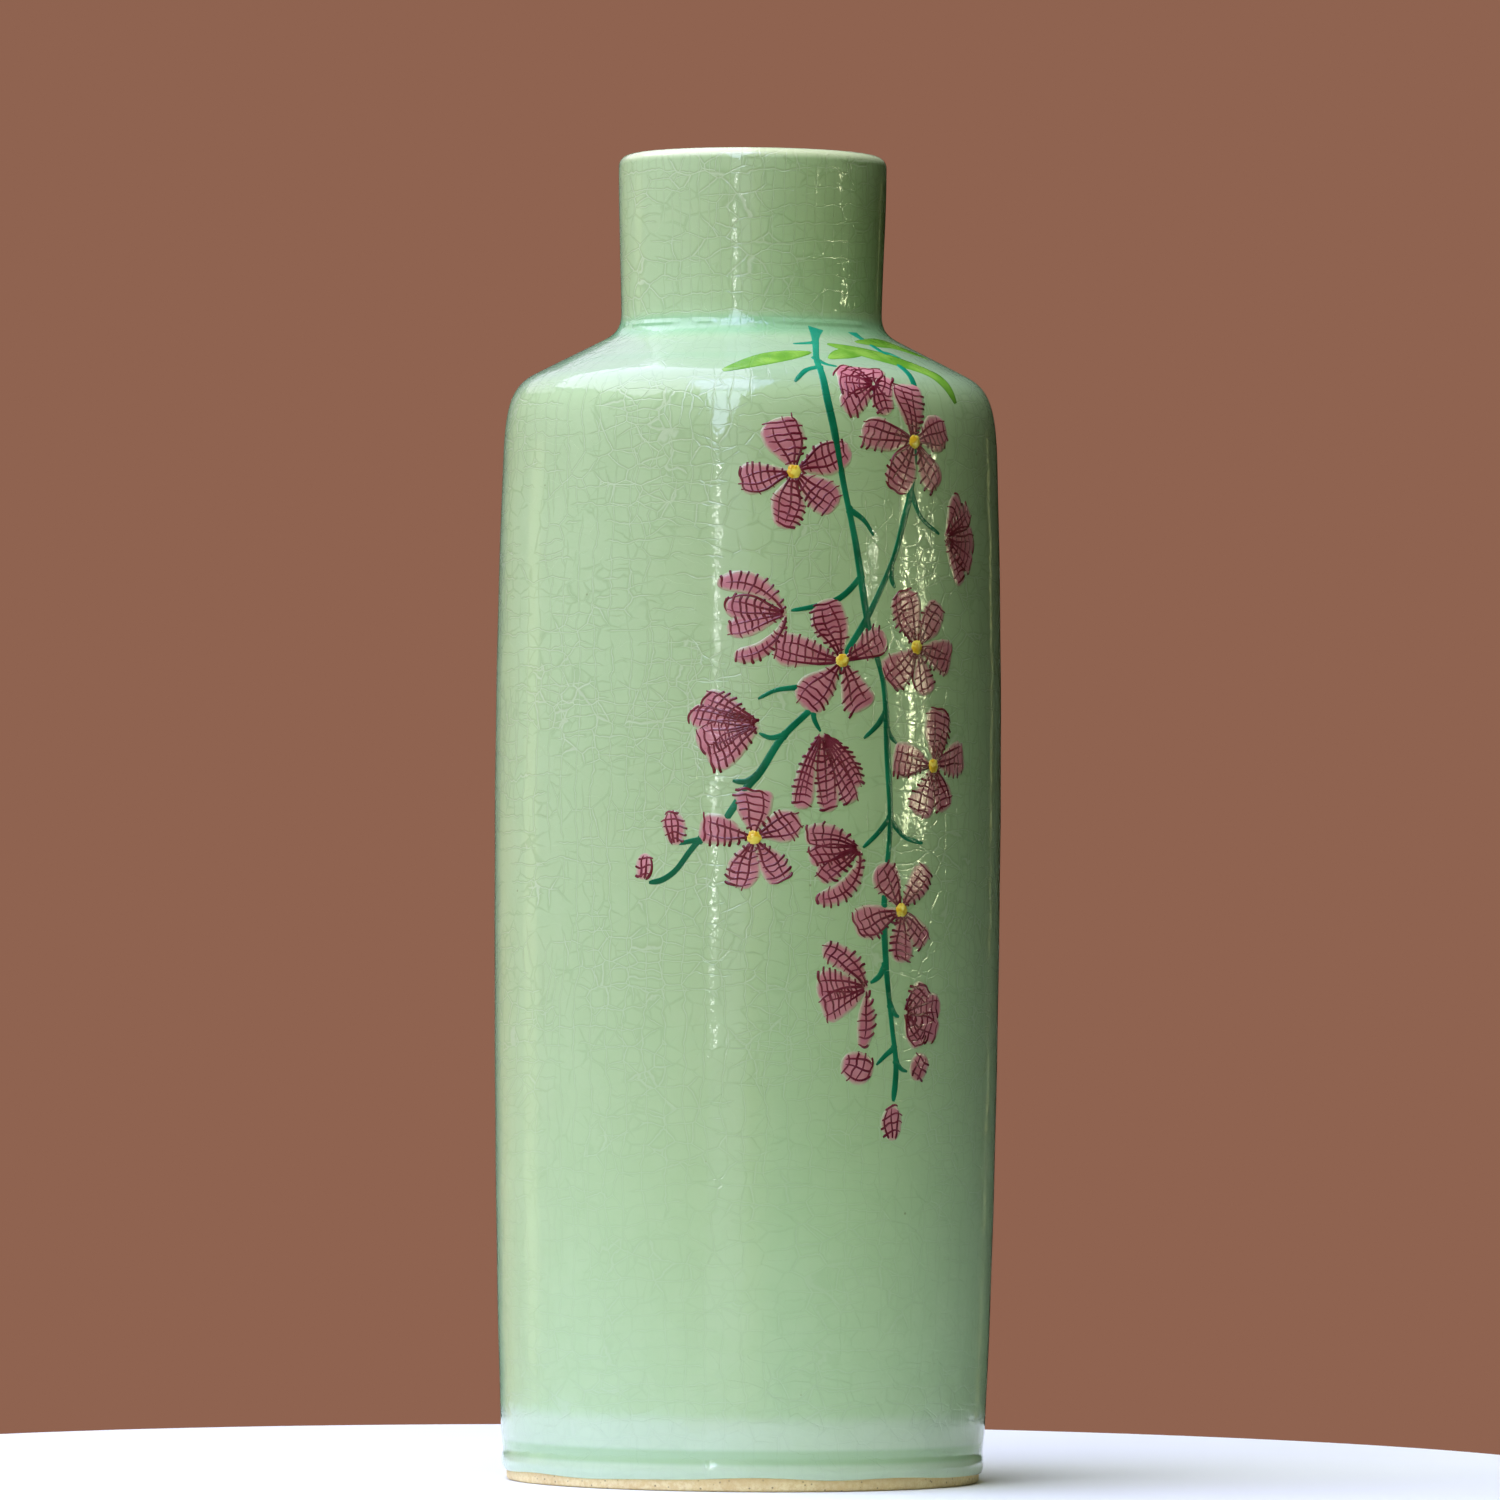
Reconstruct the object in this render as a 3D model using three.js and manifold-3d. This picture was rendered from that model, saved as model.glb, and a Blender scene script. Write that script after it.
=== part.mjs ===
// A celadon bud vase: a fired stoneware body, its coats of crackle glaze, and a hanging spray of flowers
// painted on it in enamel. Millimetres, +Z up, the origin at the centre of the foot, the spray facing -Y.
// Every profile is a list of (radius, height) points, and every painted outline is placed by (across, up):
// across is the arc round the wall from the front, up is the length along the outside profile.
import * as THREE from "three";
import { mergeVertices } from "three/addons/utils/BufferGeometryUtils.js";
import Module from "manifold-3d";

const wasm = await Module();
wasm.setup();

// ---- driving dimensions ----
const HEIGHT = 203;
const WALL_RADIUS = 38.8; // the widest glazed radius, at mid height
const MID_HEIGHT = 96;
const SHOULDER_HEIGHT = 156; // where the wall starts to turn in
const SHOULDER_RADIUS = 37.9;
const NECK_BASE_RADIUS = 19.95;
const NECK_BASE_HEIGHT = 179.5;
const NECK_RADIUS = 20.5;
const LIP_CREST_RADIUS = 18.4;
const GLAZE_LINE_HEIGHT = 2; // the bare clay below it shows as a tan band
const GLAZE_LINE_RADIUS = 36.75;
const OUTER_GLAZE = 0.5; // thickness
const INNER_GLAZE = 0.4;
const FOOT_RADIUS = 36.2;
const FOOT_CHAMFER = 0.4;
const FOOT_RING_INNER_RADIUS = 31.4;
const RECESS_HEIGHT = 2.6; // ceiling of the hollow under the floor
const RECESS_FILLET = 0.8;
const BASE_GLAZE_MARGIN = 0.6; // bare clay left between the glazed ceiling and the foot ring
const FLOOR_HEIGHT = 7.4; // glazed floor inside
const ROUND_STEPS = 40; // facets round the vase

const ENAMEL_GAP = 0.12; // clears the facets of the glaze below
const ENAMEL = 0.15; // thickness of one painted coat
const OVERLAP_STEP = 0.03; // where two brush strokes cross, the later one lies this much higher
const STEM_LIFT = ENAMEL_GAP;
const PETAL_LIFT = STEM_LIFT + ENAMEL + ENAMEL_GAP; // petals are painted over the stems
const HUB_THICKNESS = ENAMEL + 6 * OVERLAP_STEP; // takes in the ends of five petals
const CENTRE_LIFT = PETAL_LIFT + HUB_THICKNESS + ENAMEL_GAP;

// ---- colours ----
const finish = (color, roughness) => new THREE.MeshStandardMaterial({ color, roughness, metalness: 0 });
const CLAY = finish(0xd9b98a, 0.85);
const CELADON = finish(0xa9cba3, 0.12);
const STEM_GREEN = finish(0x12805f, 0.3);
const LEAF_GREEN = finish(0x6fae3a, 0.3);
const MAUVE = finish(0x9a4a72, 0.35);
const YELLOW = finish(0xe6cf2a, 0.35);

const vase = new THREE.Group();

function add(name, geometry, material) {
  const mesh = new THREE.Mesh(geometry, material);
  mesh.name = name;
  vase.add(mesh);
}

// ---- profiles ----
const at = (radius, height) => new THREE.Vector2(radius, height);

function chain(start, pieces) {
  const path = new THREE.Path();
  path.moveTo(start.x, start.y);
  for (const [a, b, end] of pieces) path.bezierCurveTo(a.x, a.y, b.x, b.y, end.x, end.y);
  return path;
}

// The glazed outside, from the glaze line up the wall, round the shoulder and up the neck to the lip's crest.
const SKIN = chain(at(GLAZE_LINE_RADIUS, GLAZE_LINE_HEIGHT), [
  [at(37.3, 10), at(38.6, 40), at(WALL_RADIUS, MID_HEIGHT)],
  [at(38.9, 118), at(38.5, 140), at(SHOULDER_RADIUS, SHOULDER_HEIGHT)],
  [at(37.6, 163.5), at(37, 167), at(33.6, 168.9)],
  [at(30, 170.8), at(26.5, 172.5), at(23.2, 174.2)],
  [at(20.7, 175.4), at(19.8, 176.4), at(NECK_BASE_RADIUS, NECK_BASE_HEIGHT)],
  [at(20.1, 186), at(NECK_RADIUS, 192), at(NECK_RADIUS, HEIGHT - 1.8)],
  [at(NECK_RADIUS, HEIGHT - 0.7), at(19.7, HEIGHT), at(LIP_CREST_RADIUS, HEIGHT)],
]);
const SKIN_STEPS = [3, 2, 5, 1, 4, 1, 2];

// The glazed inside, from the lip's crest down to the edge of the floor.
const CAVITY = chain(at(LIP_CREST_RADIUS, HEIGHT), [
  [at(17.4, HEIGHT), at(16.9, HEIGHT - 0.7), at(16.9, HEIGHT - 1.8)],
  [at(16.8, 194), at(16.3, 186), at(16.3, 178.5)],
  [at(16.3, 174.5), at(17.6, 172.7), at(19.8, 171.6)],
  [at(23, 170), at(27, 168), at(30.6, 166.2)],
  [at(33.2, 164.9), at(33.7, 162), at(33.9, SHOULDER_HEIGHT)],
  [at(34.4, 140), at(34.7, 118), at(34.7, MID_HEIGHT)],
  [at(34.6, 60), at(34.1, 30), at(33, 16)],
  [at(32.4, 11), at(30.5, FLOOR_HEIGHT + 0.5), at(26, FLOOR_HEIGHT)],
]);
const CAVITY_STEPS = [2, 1, 2, 1, 2, 1, 2, 2];

function sampled(path, steps) {
  const points = [path.curves[0].getPoint(0)];
  path.curves.forEach((curve, i) => {
    for (let k = 1; k <= steps[i]; k++) points.push(curve.getPoint(k / steps[i]));
  });
  return points;
}

// Moves each point of an open profile to the left of its direction of travel. The two ends keep the height
// or radius that their own normals give.
function offset(points, distance) {
  return points.map((p, i) => {
    const ahead = points[Math.min(i + 1, points.length - 1)];
    const behind = points[Math.max(i - 1, 0)];
    const along = ahead.clone().sub(behind).normalize();
    return at(p.x - along.y * distance, p.y + along.x * distance);
  });
}

const skin = sampled(SKIN, SKIN_STEPS);
const cavity = sampled(CAVITY, CAVITY_STEPS);
const clayOutside = offset(skin, OUTER_GLAZE);
const clayInside = offset(cavity, INNER_GLAZE);
// Both clay profiles end on the crest's own radius, so that the two glaze coats meet there face to face.
const clayCrest = at(LIP_CREST_RADIUS, HEIGHT - OUTER_GLAZE);
clayOutside[clayOutside.length - 1] = clayCrest;
clayInside[0] = clayCrest;

// A closed ring or solid of revolution about Z from (radius, height) points that go round anticlockwise.
function turned(points) {
  const closed = points[0].x === 0 ? points : [...points, points[0]];
  return new THREE.LatheGeometry(closed, ROUND_STEPS).rotateX(Math.PI / 2);
}

function stonewareBody() {
  const foot = [
    at(0, RECESS_HEIGHT),
    at(FOOT_RING_INNER_RADIUS - RECESS_FILLET, RECESS_HEIGHT),
    at(FOOT_RING_INNER_RADIUS, RECESS_HEIGHT - RECESS_FILLET),
    at(FOOT_RING_INNER_RADIUS + FOOT_CHAMFER, 0),
    at(FOOT_RADIUS - FOOT_CHAMFER, 0),
    at(FOOT_RADIUS, FOOT_CHAMFER),
  ];
  const floorCentre = at(0, FLOOR_HEIGHT - INNER_GLAZE);
  return turned([...foot, ...clayOutside, ...clayInside.slice(1), floorCentre]);
}

function outerGlaze() {
  return turned([...skin, ...clayOutside.slice().reverse()]);
}

function innerGlaze() {
  const clayFloor = at(0, FLOOR_HEIGHT - INNER_GLAZE);
  const glazedFloor = at(0, FLOOR_HEIGHT);
  return turned([clayFloor, ...clayInside.slice().reverse(), ...cavity, glazedFloor]);
}

// The glaze on the ceiling of the foot's hollow stops short of the foot ring, with a slanted edge.
function baseGlaze() {
  const edge = FOOT_RING_INNER_RADIUS - RECESS_FILLET - BASE_GLAZE_MARGIN;
  const underside = RECESS_HEIGHT - INNER_GLAZE;
  const slant = [at(edge - INNER_GLAZE, underside), at(edge, RECESS_HEIGHT)];
  return turned([at(0, underside), ...slant, at(0, RECESS_HEIGHT)]);
}

add("stoneware_body", stonewareBody(), CLAY);
add("outer_glaze", outerGlaze(), CELADON);
add("inner_glaze", innerGlaze(), CELADON);
add("base_glaze", baseGlaze(), CELADON);

// ---- the painted spray ----
const SKIN_LENGTH = SKIN.getLength();
const NEARBY = 0.002; // of the skin's length, for its slope

// A point on the glaze, lifted off it along its normal.
function onVase(across, up, lift) {
  const t = (up - GLAZE_LINE_HEIGHT) / SKIN_LENGTH;
  const p = SKIN.getPoint(t);
  const along = SKIN.getPoint(t + NEARBY).sub(SKIN.getPoint(t - NEARBY)).normalize();
  const radius = p.x + along.y * lift;
  const turn = across / WALL_RADIUS;
  return new THREE.Vector3(radius * Math.sin(turn), -radius * Math.cos(turn), p.y - along.x * lift);
}

// A closed coat of enamel over a strip: rows of [left, right] pairs of (across, up) points.
function coat(rows, lift, thickness = ENAMEL) {
  const positions = [];
  const quad = (a, b, c, d) => positions.push(a, b, c, a, c, d);
  const low = rows.map((row) => row.map((p) => onVase(p.x, p.y, lift)));
  const top = rows.map((row) => row.map((p) => onVase(p.x, p.y, lift + thickness)));
  const last = rows.length - 1;
  for (let i = 0; i < last; i++) {
    quad(top[i][0], top[i][1], top[i + 1][1], top[i + 1][0]);
    quad(low[i][1], low[i][0], low[i + 1][0], low[i + 1][1]);
    quad(low[i][0], top[i][0], top[i + 1][0], low[i + 1][0]);
    quad(top[i][1], low[i][1], low[i + 1][1], top[i + 1][1]);
  }
  quad(low[0][0], low[0][1], top[0][1], top[0][0]);
  quad(low[last][1], low[last][0], top[last][0], top[last][1]);
  return new THREE.BufferGeometry().setFromPoints(positions);
}

// Rows either side of a curved spine, half as wide as halfWidth says at each step from 0 to 1.
function strip(spine, halfWidth, steps) {
  const rows = [];
  for (let i = 0; i <= steps; i++) {
    const t = i / steps;
    const p = spine.getPointAt(t);
    const side = spine.getTangentAt(t).rotateAround(at(0, 0), Math.PI / 2).multiplyScalar(halfWidth(t));
    rows.push([p.clone().add(side), p.clone().sub(side)]);
  }
  return rows;
}

const smooth = (points) => new THREE.SplineCurve(points.map(([across, up]) => at(across, up)));

function solidOf(geometry) {
  const bare = new THREE.BufferGeometry().setAttribute("position", geometry.getAttribute("position"));
  const merged = mergeVertices(bare, 1e-4);
  const mesh = new wasm.Mesh({
    numProp: 3,
    vertProperties: merged.attributes.position.array,
    triVerts: new Uint32Array(merged.index.array),
  });
  return new wasm.Manifold(mesh);
}

// Joins coats that cross. A bubble that two of them enclose comes out as a body of its own, and is filled.
function joined(geometries) {
  const solid = geometries.map(solidOf).reduce((a, b) => a.add(b));
  const [largest] = solid.decompose().sort((a, b) => b.volume() - a.volume());
  const mesh = largest.getMesh();
  const geometry = new THREE.BufferGeometry();
  geometry.setAttribute("position", new THREE.BufferAttribute(mesh.vertProperties, 3));
  geometry.setIndex(new THREE.BufferAttribute(mesh.triVerts, 1));
  return geometry;
}

const PETAL_STEPS = 4;
const OVAL_STEPS = 6;
const HUB_INSET = 0.7; // petals start this far from their flower's centre

// A disc, or an oval turned by its tilt, as a strip across it.
function oval({ across, up, halfLength, halfWidth = halfLength, tilt = 0 }, lift, thickness) {
  const reach = at(halfLength, 0).rotateAround(at(0, 0), THREE.MathUtils.degToRad(tilt));
  const spine = new THREE.LineCurve(at(across, up).sub(reach), at(across, up).add(reach));
  const bulge = (t) => halfWidth * Math.sqrt(Math.max(1 - (2 * t - 1) ** 2, 0.06));
  return coat(strip(spine, bulge, OVAL_STEPS), lift, thickness);
}

// A petal leaves its flower's centre at an angle, and its spine turns by bend degrees on the way to the tip.
function petal(across, up, { angle, length, bend = 0, halfWidth = 2.6 }, order) {
  const start = at(HUB_INSET, 0).rotateAround(at(0, 0), THREE.MathUtils.degToRad(angle));
  const spine = [at(across, up).add(start)];
  for (let i = 0; i < PETAL_STEPS; i++) {
    const heading = THREE.MathUtils.degToRad(angle + (bend * (i + 0.5)) / PETAL_STEPS);
    const step = at(Math.cos(heading), Math.sin(heading)).multiplyScalar((length - HUB_INSET) / PETAL_STEPS);
    spine.push(spine[i].clone().add(step));
  }
  const outline = (t) => halfWidth * (0.25 + 0.75 * Math.sin(Math.PI * (0.08 + 0.72 * t)) ** 1.2);
  return coat(strip(new THREE.SplineCurve(spine), outline, PETAL_STEPS), PETAL_LIFT + order * OVERLAP_STEP);
}

// Open flowers: the centre, the length of the petals, and the angle that each petal points to.
const FLOWERS = [
  { across: 6.7, up: 153, length: 8.7, angles: [107, 25, -31, -97, -171] },
  { across: 27.6, up: 158, length: 8.8, angles: [82, 17, -46, -116, 172] },
  { across: 14.4, up: 124.7, length: 8.8, angles: [107, 31, -60, -133, 164] },
  { across: 27.7, up: 127, length: 8, angles: [112, 50, -18, -73, -128] },
  { across: 31.2, up: 109.2, length: 7.9, angles: [83, 12, -57, -117, 160] },
  { across: 1, up: 98, length: 7.3, angles: [90, 25, -52, -109, 170] },
  { across: 24.9, up: 87.4, length: 7.6, angles: [120, 47, -37, -87, -162] },
];
const HUB_RADIUS = 1.3;
const CENTRE_RADIUS = 0.95;

FLOWERS.forEach(({ across, up, length, angles }, i) => {
  const hub = oval({ across, up, halfLength: HUB_RADIUS }, PETAL_LIFT - OVERLAP_STEP, HUB_THICKNESS);
  const petals = angles.map((angle, k) => petal(across, up, { angle, length }, k));
  add(`flower_${i + 1}`, joined([hub, ...petals]), MAUVE);
  add(`flower_${i + 1}_centre`, oval({ across, up, halfLength: CENTRE_RADIUS }, CENTRE_LIFT), YELLOW);
});

// Flowers seen from the side: the point where they hang, then their petals.
const SIDE_FLOWERS = [
  { across: 20.8, up: 166.8, petals: [
    { angle: 150, length: 6.4, halfWidth: 2 }, { angle: 215, length: 7.4, halfWidth: 2 },
    { angle: -5, length: 4.6, halfWidth: 1.6 }, { angle: -70, length: 5.2, halfWidth: 1.7 },
  ] },
  { across: 5.5, up: 131.5, petals: [
    { angle: 115, length: 12.4, bend: 85, halfWidth: 1.5 }, { angle: 172, length: 9.4, halfWidth: 1.8 },
    { angle: 194, length: 9.2, halfWidth: 1.6 }, { angle: 255, length: 9, bend: -70, halfWidth: 1.3 },
  ] },
  { across: 1.4, up: 114.9, petals: [
    { angle: 146, length: 8.8, bend: 8, halfWidth: 1.6 }, { angle: 175, length: 10.6, halfWidth: 1.6 },
    { angle: 200, length: 8.6, halfWidth: 2.1 }, { angle: 232, length: 9.4, bend: -20, halfWidth: 2 },
  ] },
  { across: 11.2, up: 113.6, petals: [
    { angle: -118, length: 11.8, bend: 26, halfWidth: 1.6 }, { angle: -84, length: 11.7, halfWidth: 1.9 },
    { angle: -64, length: 11.4, halfWidth: 1.6 }, { angle: -40, length: 10, bend: -25, halfWidth: 1.6 },
  ] },
  { across: 34.2, up: 143.8, petals: [
    { angle: 46, length: 8.6, halfWidth: 1.8 }, { angle: 0, length: 8.4, halfWidth: 2 },
    { angle: -48, length: 8.8, halfWidth: 1.8 },
  ] },
  { across: 17.3, up: 96.6, petals: [
    { angle: 150, length: 9, bend: 40, halfWidth: 1.8 }, { angle: 190, length: 8.2, halfWidth: 1.9 },
    { angle: 216, length: 8, halfWidth: 1.8 }, { angle: -78, length: 12, bend: -110, halfWidth: 1.4 },
  ] },
  { across: 18.8, up: 75.5, petals: [
    { angle: 112, length: 9.8, bend: 65, halfWidth: 1.3 }, { angle: 176, length: 8.2, halfWidth: 1.9 },
    { angle: 208, length: 8, halfWidth: 1.7 }, { angle: -72, length: 9, bend: -50, halfWidth: 1.2 },
  ] },
  { across: 26, up: 72, petals: [
    { angle: 46, length: 6.2, halfWidth: 1.8 }, { angle: 8, length: 6.6, halfWidth: 1.9 },
    { angle: -36, length: 6.6, halfWidth: 1.8 },
  ] },
];

SIDE_FLOWERS.forEach(({ across, up, petals }, i) => {
  add(`side_flower_${i + 1}`, joined(petals.map((p, k) => petal(across, up, p, k))), MAUVE);
});

const BUDS = [
  { across: -11.1, up: 99.4, halfLength: 2.6, halfWidth: 1.8, tilt: 100 },
  { across: -15.9, up: 93.6, halfLength: 2, halfWidth: 1.4, tilt: 80 },
  { across: 17.4, up: 63.7, halfLength: 2.7, halfWidth: 2.3, tilt: 170 },
  { across: 28.9, up: 63.8, halfLength: 2, halfWidth: 1.7, tilt: 60 },
  { across: 23.7, up: 55.4, halfLength: 2.7, halfWidth: 1.8, tilt: 90 },
];

BUDS.forEach((bud, i) => add(`bud_${i + 1}`, oval(bud, PETAL_LIFT), MAUVE));

const STEM_HALF_WIDTH = 0.55;
const TWIG_HALF_WIDTH = 0.35;
const STEP_LENGTH = 1.8; // of the stems' strips

function stroke(points, from, to, lift) {
  const line = smooth(points);
  const steps = Math.max(2, Math.round(line.getLength() / STEP_LENGTH));
  return coat(strip(line, (t) => from + (to - from) * t, steps), lift);
}

// A stem with its twigs, each of which starts inside the stem.
function stem(points, twigs) {
  const twigLift = STEM_LIFT + OVERLAP_STEP;
  const side = twigs.map((twig) => stroke(twig, TWIG_HALF_WIDTH, TWIG_HALF_WIDTH / 2, twigLift));
  return joined([stroke(points, STEM_HALF_WIDTH, STEM_HALF_WIDTH, STEM_LIFT), ...side]);
}

const MAIN_STEM = [
  [18.7, 184.6], [15.6, 180.2], [12.5, 173], [12, 166], [13.2, 159], [14.6, 151.4], [16.6, 142.3],
  [18.8, 129.7], [21.4, 121.2], [22.2, 110], [22.7, 100], [21.8, 88.5], [22.2, 79.4], [23.4, 70.3],
  [24.3, 64], [23.9, 58.6],
];
const MAIN_TWIGS = [
  [[15.2, 179.6], [12.5, 179.2], [9.5, 178.9]],
  [[12.2, 170.5], [9.5, 169.4], [7.1, 166.8]],
  [[12.4, 173.6], [13.6, 171.6], [15.7, 170.7]],
  [[15.6, 147.4], [18, 145.9], [19.7, 143.6]],
  [[17.5, 137.5], [15.4, 135.2], [13, 133.6], [9.2, 132.6], [6.3, 132.1]],
  [[21.8, 117], [20.2, 115], [18, 113.1]],
  [[22, 114.8], [22.8, 113.4], [23.9, 112.4]],
  [[22.6, 101.2], [20.4, 98.8], [18, 96.7]],
  [[22.7, 101], [25.4, 98.4], [29.1, 97.5]],
  [[22, 79], [21, 77.4], [19.5, 76.4]],
  [[23.1, 73], [23.9, 71.8], [24.8, 71.3]],
  [[23.9, 66.6], [22.4, 65.6], [20.7, 64.1]],
  [[24.3, 64.6], [25.3, 63.5], [26.5, 63.1]],
];
const UPPER_SIDE_STEM = [
  [30.9, 184], [31.1, 176.9], [29.8, 170.3], [28.6, 163], [26.9, 151.5], [25.3, 146.1], [23.3, 140.4],
  [20.4, 134.6],
];
const UPPER_SIDE_TWIGS = [
  [[31.1, 177], [33.2, 176.4], [34.2, 174.6]],
  [[22.7, 138.7], [22.9, 137], [23.5, 135.8]],
  [[26.7, 150.8], [28.7, 146.7], [32.8, 144.2]],
];
const LOWER_SIDE_STEM = [
  [17, 129], [14.4, 124.7], [9.8, 117.7], [5.2, 113.2], [1.9, 108], [-0.1, 105.6], [-2.6, 101.8],
  [-4.6, 98.8], [-7.1, 97.6], [-8.6, 96], [-10.8, 93.1], [-13, 91.6], [-15.1, 91.2],
];
const LOWER_SIDE_TWIGS = [
  [[9.8, 117.9], [10, 115.8], [11, 114]],
  [[5.4, 113.4], [3.3, 113], [1.6, 113.7]],
  [[1.2, 107.2], [-0.4, 106.4], [-2.3, 106.5]],
  [[12.2, 121.4], [9.5, 120.8], [6.6, 120.5], [4, 120.1], [1.4, 118.8]],
  [[-7, 97.7], [-8.8, 97.4], [-10.4, 97]],
];

add("main_stem", stem(MAIN_STEM, MAIN_TWIGS), STEM_GREEN);
add("upper_side_stem", stem(UPPER_SIDE_STEM, UPPER_SIDE_TWIGS), STEM_GREEN);
add("lower_side_stem", stem(LOWER_SIDE_STEM, LOWER_SIDE_TWIGS), STEM_GREEN);

const LEAF_STEPS = 12;
const LEAVES = {
  left_leaf: [[11.4, 175.6], [3.5, 173.4], [-4.8, 169]],
  right_leaf: [[18, 179.2], [24.4, 176.8], [30.8, 174.1], [35.5, 170.8], [37.4, 167.8], [38.6, 164.3]],
  back_leaf: [[27, 180.4], [33, 180.5], [40, 180.2], [48, 176]],
};
const LEAF_HALF_WIDTH = 2;

// The leaves are brushed over the stems, as the petals are.
for (const [name, points] of Object.entries(LEAVES)) {
  const outline = (t) => LEAF_HALF_WIDTH * (0.12 + 0.88 * Math.sin(Math.PI * Math.min(t, 0.97)) ** 0.8);
  add(name, coat(strip(smooth(points), outline, LEAF_STEPS), PETAL_LIFT), LEAF_GREEN);
}

export default vase;
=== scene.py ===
"""The looks of a celadon bud vase: crackle glaze, bare clay foot and a hanging spray painted in enamel.

Outlines are in millimetres, as the design gives them, and MM turns them into the frame's metres. The foot
stands on z = 0 and the spray faces -Y. Profiles are (radius, height) points. Painted shapes are placed by
(across, up): across is the arc round the wall from the front, up is the length along the outside profile.
"""

import math
import random

import bpy
import numpy as np
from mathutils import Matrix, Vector


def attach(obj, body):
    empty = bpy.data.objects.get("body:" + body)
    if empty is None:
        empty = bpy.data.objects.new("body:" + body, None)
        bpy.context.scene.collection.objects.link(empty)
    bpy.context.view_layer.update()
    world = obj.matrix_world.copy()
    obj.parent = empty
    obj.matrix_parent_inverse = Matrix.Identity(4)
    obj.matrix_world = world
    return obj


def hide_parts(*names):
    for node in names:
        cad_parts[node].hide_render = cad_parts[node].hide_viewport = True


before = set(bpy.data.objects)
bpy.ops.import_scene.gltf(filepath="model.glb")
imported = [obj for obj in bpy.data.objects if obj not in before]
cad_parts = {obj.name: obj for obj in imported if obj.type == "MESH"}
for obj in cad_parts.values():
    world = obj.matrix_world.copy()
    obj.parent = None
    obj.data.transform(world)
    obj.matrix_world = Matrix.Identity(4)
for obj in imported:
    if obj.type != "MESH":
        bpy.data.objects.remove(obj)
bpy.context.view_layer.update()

MM = 0.001

# ---- the vase's driving dimensions, in millimetres ----
HEIGHT = 203
WALL_RADIUS = 38.8
MID_HEIGHT = 96
SHOULDER_RADIUS = 37.9
SHOULDER_HEIGHT = 156
NECK_RADIUS = 20.5
LIP_CREST_RADIUS = 18.4
GLAZE_LINE_RADIUS = 36.75
GLAZE_LINE_HEIGHT = 2
OUTER_GLAZE = 0.5
INNER_GLAZE = 0.4
FOOT_RADIUS = 36.2
FOOT_RING_INNER_RADIUS = 31.4
RECESS_HEIGHT = 2.6
FLOOR_HEIGHT = 7.4

# ---- brushwork, in millimetres ----
SUNK = -0.05  # the rim of every stroke dips this far under the glaze
STEM_HEIGHT = 0.08
PETAL_HEIGHT = 0.1  # petals cover the stems that they cross
VEIN_HEIGHT = 0.14
LEAF_HEIGHT = 0.1
EYE_HEIGHT = 0.34
HUB_INSET = 0.7  # petals start this far from their flower's centre
SIDE_INSET = 0.1  # the same for flowers seen from the side, whose petals meet
RIM_WIDTH = 0.8  # petals thin out this far in from their edge
ROUTE_SPACING = 0.5  # between the points along a stem's route
SHORT_SPACING = 0.4  # the same for twigs and leaves

# Open flowers: the centre, then each petal's angle, length and half width.
FLOWERS = [
    (6.7, 153, [(107, 8.4, 3.2), (21, 9.8, 2.5), (-39, 8.6, 2.7), (-100, 8.8, 2.6), (-169, 8.5, 2.5)]),
    (27.6, 158, [(93, 9.1, 3), (17, 7.8, 2.9), (-55, 8.4, 2.3), (-118, 8.7, 2.9), (173, 10, 2.5)]),
    (14.4, 124.7, [(108, 9.6, 2.9), (28, 8.4, 2.2), (-65, 8.2, 2.7), (-132, 9.4, 2.8), (169, 11, 2.6)]),
    (27.7, 127, [(109, 9, 3), (53, 8.4, 2.4), (-13, 7.9, 2.8), (-74, 7.5, 2.2), (-136, 7.8, 2.9)]),
    (31.2, 109.2, [(80, 8.8, 3), (11, 7.9, 2.7), (-66, 7.4, 2.3), (-111, 8.3, 2.7), (172, 8.2, 2.8)]),
    (1, 98, [(90, 7.3, 3), (22, 7.5, 2.5), (-56, 7.8, 2.2), (-108, 7.9, 2.6), (168, 8.4, 2.4)]),
    (24.9, 87.4, [(120, 7.9, 2.5), (51, 8.5, 2.3), (-46, 7.2, 2), (-88, 8, 2.1), (-163, 8.7, 2.6)]),
]

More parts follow.
